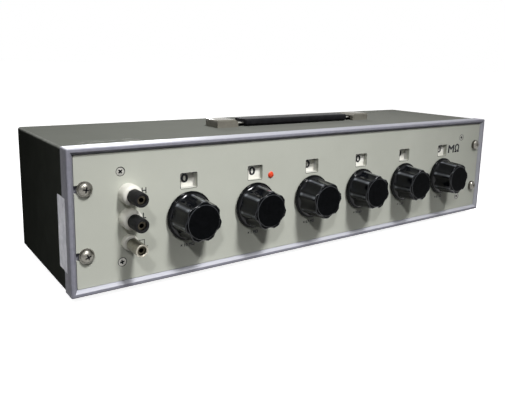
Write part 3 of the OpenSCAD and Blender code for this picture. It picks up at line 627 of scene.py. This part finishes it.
slotFinish = {
    "case_paint": "casePaint", "bezel_metal": "bezelMetal", "panel_paint": "panelPaint",
    "frame_grey": "frameGrey", "zinc_steel": "zincSteel", "strap_steel": "strapSteel", "nickel": "wornNickel",
    "brass": "brass", "copper": "copperWire", "deck_bakelite": "deckSheet", "wafer_laminate": "waferSheet",
    "resistor_coat": "resistorCoat", "point_orange": "pointOrange", "insulator_white": "whiteMoulding",
    "cap_black": "charcoalMoulding", "black_bakelite": "blackBakelite", "dial_white": "dialWhite",
    "grip_black": "gripBlack", "foot_rubber": "footRubber",
}
for part in frame["record"]["subparts"]:
    for held in nodes[part["node"]].material_slots:
        held.material = finishes[slotFinish[part["material_slot"]]]
for name in ("terminal_studs", "terminal_sleeve_h", "terminal_sleeve_l", "terminal_sleeve_e"):  # painted shade: dark studs and sleeves, for the shaded socket mouths and the gap behind the earth cap
    for held in nodes[name].material_slots:
        held.material = finishes["shadedBrass"]
print("finishes made:", len(finishes))


# bezel: one frame with round outer edges, a narrow crest, a bevel down to the panel, a ledge and a spigot

bezelLook = {"depth": 15, "edge": 1.3, "face": 3.1, "crestEdge": 0.35, "bevel": 2.4, "drop": 3, "pocket": 3,
             "lip": 2.5, "endLedge": 18, "ledge": 6, "spigotIn": 1.85, "spigot": 6, "wall": 2}


def roundBezel(bezel, look, low, high):
    def atEnd(p):
        return near(abs(p.x), high.x)

    def atLevel(p):
        return near(p.z, low.z) or near(p.z, high.z)

    def isOuter(a, b):  # the four corners and the rim in front
        if near(a.y, low.y) and near(b.y, low.y):
            return all(atEnd(p) or atLevel(p) for p in (a, b))
        return all(atEnd(p) and atLevel(p) for p in (a, b)) and near(a.x, b.x) and near(a.z, b.z)

    def onCrest(p):
        beside = (high.x - abs(p.x), high.z - p.z, p.z - low.z)
        return near(p.y, low.y) and any(near(distance, look["face"]) for distance in beside)

    pickEdges(bezel, isOuter)
    roundOff(look["edge"], 6)
    pickEdges(bezel, lambda a, b: onCrest(a) and onCrest(b))
    roundOff(look["crestEdge"], 3)


def makeBezel(look):
    low, high = (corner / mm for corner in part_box("front_bezel"))
    back = low.y + look["depth"]
    seat = low.y + look["drop"] + look["pocket"]
    bezel = addBlock("bezel", low, (high.x, back, high.z))
    pickFaces(bezel, lambda c, n: n.y < -0.99)
    inset(look["face"])
    inset(look["bevel"], -look["drop"])
    pull(0, look["pocket"], 0)
    inset(look["lip"])
    inner, level = high.x - look["face"] - look["bevel"] - look["lip"], (low.z + high.z) / 2
    for side in (-1, 1):  # wider ledges at the ends take the panel screws
        pickPlaces(bezel, lambda p: near(p.y, seat) and near(side * p.x, inner, 0.5))
        move(side * (look["lip"] - look["endLedge"]), 0, 0)
    pickFaces(bezel, lambda c, n: n.y < -0.99 and near(c.y, seat) and abs(c.x) < 1 and near(c.z, level, 1))
    pull(0, look["ledge"], 0)
    bpy.ops.mesh.delete(type="FACE")
    pickFaces(bezel, lambda c, n: n.y > 0.99 and near(c.y, back))
    inset(look["spigotIn"])
    pull(0, look["spigot"], 0)
    inset(look["wall"])
    pull(0, seat + look["ledge"] - back - look["spigot"], 0)
    bpy.ops.mesh.delete(type="FACE")
    pickWhere(bezel, "EDGE", lambda edge: len(edge.link_faces) == 1)  # both open rims
    bpy.ops.mesh.bridge_edge_loops()
    roundBezel(bezel, look, low, high)
    stopEditing()
    return smoothed(bezel, 30)


dressed(makeBezel(bezelLook), "bezelMetal", "box", ["front_bezel"])
print("bezel modelled")


# screws: cross recesses, each turned its own way

screwLook = {
    "panelScrew": {"node": "panel_screws", "seat": "panel_washers", "reach": 5.5, "head": 5.5, "wall": 1.3,
                   "tall": 4.0, "under": [(2.9, -12), (2.9, 0), (5.35, 0), (5.5, 0.15)],
                   "turns": (24, -12, 52, 8), "cross": 3.5, "blade": 1.4, "deep": 2.3, "grime": 2.75,
                   "finish": "zincSteel"},
    "standoffScrew": {"node": "standoff_screws", "seat": None, "reach": 3.95, "sunk": 0.35, "head": 3.45,
                      "wall": 0.02, "tall": 0.3, "under": [(1.9, -9), (1.9, -2.0), (3.45, -0.05)],
                      "turns": (12, 40, -20, 5), "cross": 2.6, "blade": 1.5, "deep": 2.2, "grime": 0.05,
                      "rim": (3.45, 3.8, 0.2, 0.37), "finish": "paleZinc"},
}
crownShares = [0.97, 0.9, 0.8, 0.65, 0.45, 0.2]
crossTaper = (0.35, 0.7, 1)
# painted shade: dark pieces fill most of each cross recess, a little above its floor
grimeShare, grimeAir = 0.9, 0.02


def makeScrew(name, look):
    head, tall = look["head"], look["tall"]
    crown = domePoints(head, look["wall"], tall, crownShares)
    screw = turned(name, look["under"] + [(head, look["wall"])] + crown, 48)
    for turn in (0, pi / 2):
        blade = addBlock("blade", (-look["cross"], -look["blade"] / 2, tall - look["deep"]),
                         (look["cross"], look["blade"] / 2, tall + 1))
        pickFaces(blade, lambda c, n: n.z < -0.9)
        bpy.ops.transform.resize(value=crossTaper, center_override=(0, 0, 0))
        stopEditing()
        cutBy(screw, settle(blade, turn=(0, 0, turn)))
    return smoothed(screw, 28)


def makeGrime(look):  # painted shade: dark pieces in the cross recesses, and a dark ring in the gap round a countersunk head
    pieces = []
    reach, half = look["cross"] * grimeShare, look["blade"] / 2 * grimeShare
    for turn in (0, pi / 2):
        blade = addBlock("grime", (-reach, -half, look["tall"] - look["deep"] + grimeAir),
                         (reach, half, look["grime"]))
        stopEditing()
        pieces.append(settle(blade, turn=(0, 0, turn)))
    if "rim" in look:
        inner, outer, low, high = look["rim"]
        pieces.append(turned("grime", [(inner, low), (outer, low), (outer, high), (inner, high)], 48, True))
    return joinAs("grime", pieces)


for name, look in screwLook.items():
    pattern = makeScrew(name, look)
    grimePattern = makeGrime(look)
    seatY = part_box(look["seat"])[0].y if look["seat"] else panelFace + look["sunk"] * mm
    spots = fourSpots(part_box(look["node"]), look["reach"] * mm, 2)
    screws, grimes = [], []
    for (x, z), turn in zip(spots, look["turns"]):
        for kind, pieces in ((pattern, screws), (grimePattern, grimes)):
            piece = settle(copyOf(kind, name + "Copy"), turn=(0, 0, radians(turn)))
            pieces.append(settle(piece, (x, seatY, z), standUp))
    discard(pattern, grimePattern)
    # painted shade, dark in the recesses
    dressed(joinAs(name + "Grime", grimes), "printInk", "box")
    dressed(joinAs(name + "s", screws), look["finish"], "box", [look["node"]])
print("screws modelled")


# binding posts: white insulators, two charcoal caps and a bare metal one

mouldedPost = {"seat": 12.0, "seatRadius": 8.6, "round": 3.4, "gap": 0.3, "cap": 16.5, "radius": 6.0,
               "front": 0.9, "mouth": 3.8, "mouthWide": 4.2, "mouthDeep": 0.4, "ribs": 36, "ribDepth": 0.014,
               "finish": "charcoalMoulding", "slot": "cap_black"}
metalPost = {"seat": 5.5, "seatRadius": 6.5, "round": 1.2, "gap": 2.3, "cap": 19.5, "radius": 5.4,
             "front": 0.6, "mouth": 3.7, "mouthWide": 4.1, "mouthDeep": 0.4, "ribs": 48, "ribDepth": 0.018,
             "finish": "wornNickel", "slot": "nickel"}
postLook = {"h": mouldedPost, "l": mouldedPost, "e": metalPost}
seatLook = {"hole": 2.55, "neck": 4.95, "neckDeep": 2.95, "lift": 0.05, "edge": 0.2, "rim": 1.2}
capLook = {"bore": 4.35, "frontWall": 1.8, "foot": [(0.5, 0), (0.1, 0.4), (0, 1.2)],
           "collar": 0.12, "collarDown": (1.6, 1.2), "ribRings": (3, 4)}


def makeSeat(look):
    top, edge, wide = look["seat"], look["round"], look["seatRadius"]
    hole, neck, lift = seatLook["hole"], seatLook["neck"], seatLook["lift"]
    profile = [(hole, -seatLook["neckDeep"]), (neck, -seatLook["neckDeep"]), (neck, lift),
               (wide - seatLook["edge"], lift), (wide, lift + seatLook["edge"])]
    profile += arcPoints(wide - edge, top - edge, edge, 0, 90, 7)
    profile += [(hole + seatLook["rim"], top), (hole, top - lift)]
    return smoothed(turned("postSeat", profile, 64, ring=True), 35)


def makeCap(look):
    wide, bottom = look["radius"], look["seat"] + look["gap"]
    top, front, collar = bottom + look["cap"], look["front"], wide - capLook["collar"]
    inside = top - capLook["frontWall"]
    ribEnd, collarStart = (top - front - down for down in capLook["collarDown"])
    profile = [(capLook["bore"], bottom)] + [(wide - step, bottom + up) for step, up in capLook["foot"]]
    profile += [(wide, ribEnd), (collar, collarStart)]
    profile += arcPoints(collar - front, top - front, front, 0, 90, 5)
    profile += [(look["mouthWide"], top), (look["mouth"], top - look["mouthDeep"]), (look["mouth"], inside),
                (capLook["bore"], inside)]
    sides = look["ribs"] * 2
    cap = turned("postCap", profile, sides, ring=True)
    reopen(cap)
    pickPoints(cap, [ring * sides + side for ring in capLook["ribRings"] for side in range(0, sides, 2)])
    less = 1 - look["ribDepth"]  # every other point sinks, for fine ribs
    bpy.ops.transform.resize(value=(less, less, 1), center_override=(0, 0, 0))
    setMode("OBJECT")
    return smoothed(cap, 30)


seats = []
for key, look in postLook.items():
    middle = middleOf(f"terminal_cap_{key}")
    axis = (middle.x, panelFace, middle.z)
    seats.append(settle(makeSeat(look), axis, standUp))
    cap = named(settle(makeCap(look), axis, standUp), f"postCap{key.upper()}")
    dressed(cap, look["finish"], f"post_{key}_cap", [f"terminal_cap_{key}"])
dressed(joinAs("postSeats", seats), "whiteMoulding", "box", ["terminal_insulators"])
print("posts modelled")


# decimal point: a moulded bead with a short stem

pointLook = {"radius": 3.2, "base": 0.4, "tall": 1.7, "stem": 1.45, "stemLong": 2.9, "air": 0.03,
             "shares": [0.98, 0.93, 0.85, 0.74, 0.6, 0.42, 0.2, 0.05]}


def makePoint(look):
    wide, base, air = look["radius"], look["base"], look["air"]
    foot = [(look["stem"], -look["stemLong"]), (look["stem"], air), (wide, air), (wide, base)]
    crown = domePoints(wide, base, look["tall"], look["shares"])
    return smoothed(turned("decimalPoint", foot + crown, 48), 40)


middle = middleOf("decimal_point")
point = settle(makePoint(pointLook), (middle.x, panelFace, middle.z), standUp)
dressed(point, "pointOrange", "box", ["decimal_point"])


# handle: a steel strap through one soft grip, held at each end by a plated cap

handleLook = {
    "wide": 24, "capLong": 25, "capTall": 8, "capDrop": 2, "capSlope": 4, "capWall": 1.2, "capRoof": 1.6,
    "capRound": 1.7, "capEdge": 0.7, "mouthWide": 15.6, "mouthTall": 5.1, "mouthExtra": 0.5, "neck": 10.5,
    "gripTall": 7, "gripAir": 0.8, "gripRound": 2.4, "gripEnd": 1.2, "gripFirm": 4, "gripSteps": 30,
    "strapWide": 14, "strapTall": 1.5, "strapAir": 2.8, "strapIn": 14, "strapEdge": 0.3, "strapSteps": 38,
    "bendReach": 45,
}


def makeHandleCap(look, inner, far):
    half = look["wide"] / 2
    shoulder = look["capTall"] - look["capDrop"]
    cap = addBlock("handleCap", (inner, -half, 0), (far, half, shoulder))
    pickFaces(cap, lambda c, n: n.z > 0.9)
    pull(0, 0, look["capDrop"])
    pickPlaces(cap, lambda p: near(p.x, inner) and near(p.z, look["capTall"]))
    move(look["capSlope"], 0, 0)
    pickEdges(cap, lambda a, b: all(near(p.x, far) and near(p.z, look["capTall"]) for p in (a, b)))
    roundOff(look["capRound"], 5)
    pickFaces(cap, lambda c, n: n.z < -0.9)
    inset(look["capWall"])
    pull(0, 0, look["capTall"] - look["capRoof"])
    pickEdges(cap, lambda a, b: near(abs(a.y), half) and near(a.y, b.y) and min(a.z, b.z) > 0.1)
    roundOff(look["capEdge"], 3)
    stopEditing()
    mouth, deep = look["mouthWide"] / 2, look["capSlope"] + look["mouthExtra"]
    cutter = addBlock("mouth", (inner - 2, -mouth, -1), (inner + deep, mouth, look["mouthTall"]))
    stopEditing()
    cutBy(cap, cutter)
    return smoothed(cap, 30)


def sliced(piece, start, stop, steps):  # rings across the length
    reopen(piece)
    for step in range(1, steps):
        pickAll()
        cut = (start + (stop - start) * step / steps) * mm
        bpy.ops.mesh.bisect(plane_co=(cut, 0, 0), plane_no=(1, 0, 0))
    setMode("OBJECT")
    return piece


def makeGrip(look, half):
    wide, base = look["wide"] / 2, look["gripAir"]
    grip = addBlock("handleGrip", (-half, -wide, base), (half, wide, base + look["gripTall"]))
    pickEdges(grip, alongX)
    roundOff(look["gripRound"], 6)
    pickEdges(grip, lambda a, b: near(a.x, b.x) and near(abs(a.x), half))
    roundOff(look["gripEnd"], 4)
    stopEditing()
    sliced(grip, -half + look["gripFirm"], half - look["gripFirm"], look["gripSteps"])
    return smoothed(grip, 40)


def makeStrap(look, half):
    wide, base = look["strapWide"] / 2, look["strapAir"]
    strap = addBlock("handleStrap", (-half, -wide, base), (half, wide, base + look["strapTall"]))
    pickEdges(strap, alongX)
    roundOff(look["strapEdge"], 2)
    stopEditing()
    sliced(strap, -half, half, look["strapSteps"])
    return smoothed(strap, 40)


capsLow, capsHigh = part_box("handle_end_caps")
handleMiddle = (capsLow + capsHigh) / 2
handlePlace = (handleMiddle.x, handleMiddle.y, capsLow.z)
handleHalf = (capsHigh.x - capsLow.x) / 2 / mm
capInner = handleHalf - handleLook["capLong"]
rightCap = makeHandleCap(handleLook, capInner, handleHalf)
leftCap = mirrored(copyOf(rightCap, "leftCap"))
caps = settle(joinAs("handleCaps", [rightCap, leftCap]), handlePlace)
dressed(smoothed(caps, 30), "capNickel", "box", ["handle_end_caps"])
grip = settle(makeGrip(handleLook, capInner - handleLook["neck"]), handlePlace)
dressed(grip, "gripBlack", None, ["handle_grip_left", "handle_grip_right"])
strap = settle(makeStrap(handleLook, capInner + handleLook["strapIn"]), handlePlace)
dressed(strap, "strapSteel", None, ["handle_strap_left", "handle_strap_right"])
for piece in (grip, strap):
    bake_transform(piece)
print("handle modelled")


# rubber feet: tapered, with a well and hole for a sunk screw

footLook = {"top": 10.0, "bottom": 8.5, "tall": 6.0, "round": 1.2, "well": 4.25, "hole": 2.1, "wellDeep": 3.0,
            "topEdge": [(0.1, 0.5), (0.5, 0)]}


def makeFoot(look):
    profile = [(look["well"], 0), (look["bottom"] - look["round"], 0)]
    profile += arcPoints(look["bottom"] - look["round"], look["round"], look["round"], -70, 0, 5)
    profile += [(look["top"] - step, look["tall"] - down) for step, down in look["topEdge"]]
    profile += [(look["hole"], look["tall"]), (look["hole"], look["wellDeep"]),
                (look["well"], look["wellDeep"])]
    return smoothed(turned("rubberFoot", profile, 48, ring=True), 40)


footPattern = makeFoot(footLook)
spots = fourSpots(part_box("rubber_feet"), footLook["top"] * mm, 1)
feet = [settle(copyOf(footPattern, "foot"), (x, y, 0)) for x, y in spots]
discard(footPattern)
dressed(joinAs("rubberFeet", feet), "footRubber", "box", ["rubber_feet"])
print("feet modelled")


# knobs: a skirt with a round edge, a tapered grip with seven scallops and a low disc in front

# runOut: how deep the scallops are at each height, and how far the foot of the grip flares
knobLook = {
    "gap": 0.8, "hole": 3.2, "skirt": 22.0, "skirtEdge": 1.5, "skirtTop": 4.4, "gripStart": 4.3,
    "base": 19.4, "top": 17.9, "rim": 27.1, "edge": 1.2, "disc": 15.25, "discFoot": (0.12, 0.05),
    "discEdge": 0.45, "discClear": (0.13, 0.02), "front": 27.5, "middle": 9,
    "flutes": 7, "stepsPerFlute": 16, "cutter": 13.5, "depth": 1.6,
    "runOut": {4.3: (0, 0.5), 4.9: (0.35, 0.12), 5.8: (0.72, 0), 7.2: (0.93, 0), 9.5: (1, 0), 15.0: (1, 0),
               20.5: (1, 0)},
    "firstFlute": [11, 11, 35, 10, 11, 35], "finishes": ["blackBakelite", "skirtBakelite", "dullBakelite"],
}
# painted highlights: lines on the ridges with brighter ends, a faint rim, the disc edge
knobHighlightLook = {"ridge": {8: 1.0, 7: 0.45}, "middle": 0.42, "rim": 0.04, "disc": 0.1, "start": 5,
                "ends": (8, 2), "rimFrom": (0.3, 0.2)}
setScrewLook = {"profile": [(2.0, -3), (2.0, -0.25), (1.8, 0), (0.95, 0), (0.85, -1.4)], "height": 13.5,
                "sunk": 0.1, "flute": [-1, -1, -1, -1, -1, 4]}


def gripRadius(look, height):  # between the scallops
    along = (height - look["gripStart"]) / (look["rim"] - look["edge"] - look["gripStart"])
    return look["base"] + (look["top"] - look["base"]) * along


def fluteCut(look, radius, turn):  # how deep the scallop is at this turn from its middle
    reach = radius + look["cutter"] - look["depth"]
    inside = look["cutter"] ** 2 - (reach * sin(turn)) ** 2
    if inside <= 0:
        return 0
    return max(0, radius - (reach * cos(turn) - sqrt(inside)))


def makeKnob(look):
    sides = look["flutes"] * look["stepsPerFlute"]
    disc, rim, front, edge = look["disc"], look["rim"], look["front"], look["edge"]
    profile = [(look["hole"], look["gap"])]
    profile += arcPoints(look["skirt"] - look["skirtEdge"], look["gap"] + look["skirtEdge"],
                         look["skirtEdge"], -90, 82, 7)
    fluted = {}  # ring and how much of the scallop it has
    for height, (share, flare) in look["runOut"].items():
        fluted[len(profile)] = share
        profile.append((gripRadius(look, height) + flare, height))
    for spot in arcPoints(look["top"] - edge, rim - edge, edge, 0, 90, 6):
        fluted[len(profile)] = 1
        profile.append(spot)
    step, rise = look["discFoot"]
    profile += [(disc + step, rim), (disc, rim + rise), (disc - look["discEdge"], front),
                (look["middle"], front)]
    knob = turned("knobPattern", profile, sides)
    reopen(knob)
    for ring, share in fluted.items():
        clear, more = look["discClear"]
        least = disc + clear + more * (len(profile) - ring)  # so the disc stays clear of the scallops
        cutScallops(knob, look, ring, profile[ring], share, least)
    setMode("OBJECT")
    markWear(knob, look, profile, fluted, sides)
    return smoothed(knob, 30)


def cutScallops(knob, look, ring, spot, share, least):
    radius, height = spot
    period = look["stepsPerFlute"]
    sides = look["flutes"] * period
    for step in range(period // 2 + 1):
        cut = fluteCut(look, max(radius, look["top"]), 2 * pi * step / sides) * share
        smaller = max(radius - cut, least) if cut else radius
        if smaller >= radius:
            continue
        wanted = {ring * sides + (flute * period + way * step) % sides
                  for flute in range(look["flutes"]) for way in (-1, 1)}
        pickPoints(knob, wanted)
        less = smaller / radius
        bpy.ops.transform.resize(value=(less, less, 1), center_override=(0, 0, height * mm))


def markWear(knob, look, profile, fluted, sides):  # how bright each point is painted: highlights on the ridges, brighter at their ends, a faint rim and the disc edge
    knobHighlight = knob.data.attributes.new("knobHighlight", "FLOAT", "POINT")
    brightened = knobHighlightLook
    period, disc = look["stepsPerFlute"], look["disc"]
    fullHeight = look["rim"] - look["edge"]
    low, high = brightened["ends"][0], fullHeight - brightened["ends"][1]
    rimOut, rimUp = brightened["rimFrom"]
    for ring, (radius, height) in enumerate(profile):
        onDisc = near(radius, disc) and height > look["rim"] or near(radius, disc - look["discEdge"])
        onRim = height > fullHeight + rimUp and radius > disc + rimOut
        for side in range(sides):
            step = min(side % period, period - side % period)  # 0 in the middle of a flute
            level = 0
            if onDisc:
                level = brightened["disc"]
            elif onRim:
                level = brightened["rim"]
            elif ring in fluted and height > brightened["start"]:
                level = brightened["ridge"].get(step, 0) * (brightened["middle"] if low < height < high else 1)
            knobHighlight.data[ring * sides + side].value = level


def finishKnob(knob, look):  # glossy sides, a duller skirt and a dull front
    for name in look["finishes"]:
        knob.data.materials.append(finishes[name])
    reopen(knob)
    for index, test in ((1, lambda c, n: c.z < look["skirtTop"]), (2, lambda c, n: n.z > 0.93 and c.z > 1)):
        pickFaces(knob, test)
        knob.active_material_index = index
        bpy.ops.object.material_slot_assign()
    setMode("OBJECT")
    return knob


knobPattern = finishKnob(makeKnob(knobLook), knobLook)
screwPattern = smoothed(turned("setScrew", setScrewLook["profile"], 24))
screwHeight = setScrewLook["height"]
screwReach = (knobLook["base"] + (knobLook["top"] - knobLook["base"]) * screwHeight / knobLook["rim"]
              - knobLook["depth"] - setScrewLook["sunk"])
for number in range(1, 7):
    middle = middleOf(f"knob_{number}")
    axis = (middle.x, panelFace, middle.z)
    firstFlute = radians(knobLook["firstFlute"][number - 1])
    knob = settle(copyOf(knobPattern, f"knob{number}"), turn=(0, 0, firstFlute - pi / 2))
    settle(knob, axis, standUp)
    dressed(knob, None, f"decade_{number}", [f"knob_{number}"])
    screw = settle(copyOf(screwPattern, f"setScrew{number}"), turn=(0, pi / 2, 0))
    settle(screw, (screwReach * mm, 0, screwHeight * mm))
    settle(screw, turn=(0, 0, firstFlute + setScrewLook["flute"][number - 1] * 2 * pi / knobLook["flutes"]))
    settle(screw, axis, standUp)
    dressed(screw, "zincSteel", f"decade_{number}")
discard(knobPattern, screwPattern)
print("knobs modelled")


# figures and words

wordLook = {"thick": 0.05, "capHeight": 0.682}


def addWords(name, words, height, place, bold=0.0, wide=1.0, turn=0.0, lean=0.0):
    clearSelection()
    bpy.ops.object.text_add()
    piece = bpy.context.object
    piece.name = name
    piece.data.body = words
    piece.data.align_x, piece.data.align_y = "CENTER", "CENTER"
    piece.data.size = height * mm / wordLook["capHeight"]
    piece.data.extrude = wordLook["thick"] * mm
    piece.data.bevel_depth = bold * mm  # an offset would fill the corners of M and 4
    piece.data.bevel_resolution = 0
    piece.data.shear = lean
    piece.data.resolution_u = 4
    bpy.ops.object.convert(target="MESH")
    piece = bpy.context.object
    piece.scale = (wide, 1, wordLook["thick"] / (wordLook["thick"] + bold))
    settle(piece)
    return settle(piece, [v * mm for v in place], (0, 0, turn))


figureLook = {"height": 7.2, "ring": 31.6, "bold": 0.42, "wide": 1.3, "tenShare": 0.8,
              "step": 30, "slack": 1.5}


def makeFigures(look):
    pieces = []
    for figure in range(11):
        turn = radians(look["step"] * figure + look["slack"])
        place = (-look["ring"] * sin(turn), look["ring"] * cos(turn), 0)
        wide = look["wide"] if figure < 10 else look["wide"] * look["tenShare"]
        pieces.append(addWords("figure", str(figure), look["height"], place, look["bold"], wide, turn))
    return joinAs("figurePattern", pieces)


figurePattern = makeFigures(figureLook)
for number in range(1, 7):
    low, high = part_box(f"dial_{number}")
    middle = ((low.x + high.x) / 2, low.y - inkLift, (low.z + high.z) / 2)
    figures = settle(copyOf(figurePattern, f"dialFigures{number}"), middle, standUp)
    dressed(figures, "printInk", f"decade_{number}")
discard(figurePattern)

printLook = {
    "postHigh": {"words": "H", "height": 5.0, "place": (-205.6, 85.5), "bold": 0.12, "wide": 0.95},
    "postLow": {"words": "L", "height": 4.7, "place": (-205.7, 64.1), "bold": 0.12, "wide": 0.95},
    "unitMega": {"words": "M", "height": 9.0, "place": (205.9, 90.0), "bold": 0.48, "wide": 1.3,
                 "lean": 0.04},
    "unitOhm": {"words": "Ω", "height": 9.0, "place": (217.8, 90.0), "bold": 0.48, "wide": 0.95,
                "lean": 0.04},
}
multiplierLook = {"height": 2.6, "bold": 0.14, "wide": 1.0, "left": 1.5, "level": 31.6,
                  "words": ["10 MΩ", "1 MΩ", "0.1 MΩ", "10 kΩ", "1 kΩ", "0.1 kΩ"]}
for number, words in enumerate(multiplierLook["words"], 1):
    across = middleOf(f"knob_{number}").x / mm - multiplierLook["left"]
    printLook[f"multiplier{number}"] = {**multiplierLook, "words": "× " + words,
                                        "place": (across, multiplierLook["level"])}
for name, look in printLook.items():
    words = addWords(name, look["words"], look["height"], (0, 0, 0), look["bold"], look["wide"],
                     lean=look.get("lean", 0))
    settle(words, (look["place"][0] * mm, inkFace, look["place"][1] * mm), standUp)
    dressed(words, "printInk", "box")

windowLook = {"wide": 16, "tall": 13.5, "rise": 31, "corner": 1.4, "line": 0.4, "thick": 0.05}


def makeWindowLine(look):
    clearSelection()
    line = 2 * look["line"]
    bpy.ops.mesh.primitive_plane_add(size=mm)
    bpy.context.object.scale = (look["wide"] + line, look["tall"] + line, 1)
    applyPlace()
    ring = startEditing("windowLine")
    pickAll()
    bpy.ops.mesh.bevel(offset=look["corner"] * mm, segments=5, profile=0.5, affect="VERTICES")
    pickAll()
    inset(look["line"])
    bpy.ops.mesh.delete(type="FACE")
    pickAll()
    pull(0, 0, look["thick"])
    stopEditing()
    return ring


linePattern = makeWindowLine(windowLook)
for number in range(1, 7):
    middle = middleOf(f"knob_{number}")
    ring = copyOf(linePattern, f"windowLine{number}")
    settle(ring, (middle.x, inkFace, middle.z + windowLook["rise"] * mm), standUp)
    dressed(ring, "printInk", "box")
discard(linePattern)

earthLook = {"start": -213.0, "turn": -205.9, "level": 43.4, "foot": 37.4, "line": 0.6, "thick": 0.06,
             "edge": 0.15, "bars": {37.4: 3.2, 35.9: 2.1, 34.4: 1.0}}


def makeEarthSign(look):  # a line from the post, a corner, and three bars that grow shorter
    half, turn, back = look["line"] / 2, look["turn"], panelFace / mm
    front = back - look["thick"]
    line = addBlock("line", (look["start"], front, look["level"] - half),
                    (turn - half, back, look["level"] + half))
    pickFaces(line, lambda c, n: n.x > 0.9)
    pull(look["line"], 0, 0)
    pickFaces(line, lambda c, n: n.z < -0.9 and c.x > turn - half)
    pull(0, 0, look["foot"] - look["level"] + half)
    stopEditing()
    pieces = [line]
    for level, reach in look["bars"].items():
        bar = addBlock("bar", (turn - reach, front, level - half), (turn + reach, back, level + half))
        pickEdges(bar, lambda a, b: near(a.x, b.x) and near(a.z, b.z))
        roundOff(look["edge"], 2)
        stopEditing()
        pieces.append(bar)
    return joinAs("earthSign", pieces)


dressed(makeEarthSign(earthLook), "printInk", "box")
print("figures and words set")


# a bare paper label on the left side

labelLook = {"y": (-57.0, -35.2), "z": (24.5, 85.5), "thick": 0.1, "corner": 1.0, "bend": (-49.5, -47.5)}


def makeLabel(look):  # stuck half on the bezel and half on the case, which lies a little lower
    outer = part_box("front_bezel")[0].x / mm
    label = addBlock("sideLabel", (outer - look["thick"], look["y"][0], look["z"][0]),
                     (outer, look["y"][1], look["z"][1]))
    pickEdges(label, alongX)
    roundOff(look["corner"], 4)
    for bend in look["bend"]:
        pickAll()
        bpy.ops.mesh.bisect(plane_co=(0, bend * mm, 0), plane_no=(0, 1, 0))
    pickPlaces(label, lambda p: p.y > look["bend"][1] - 0.01)
    move(caseSide - outer, 0, 0)
    stopEditing()
    return label


dressed(makeLabel(labelLook), "plainPaper", "box")


print("pieces done")
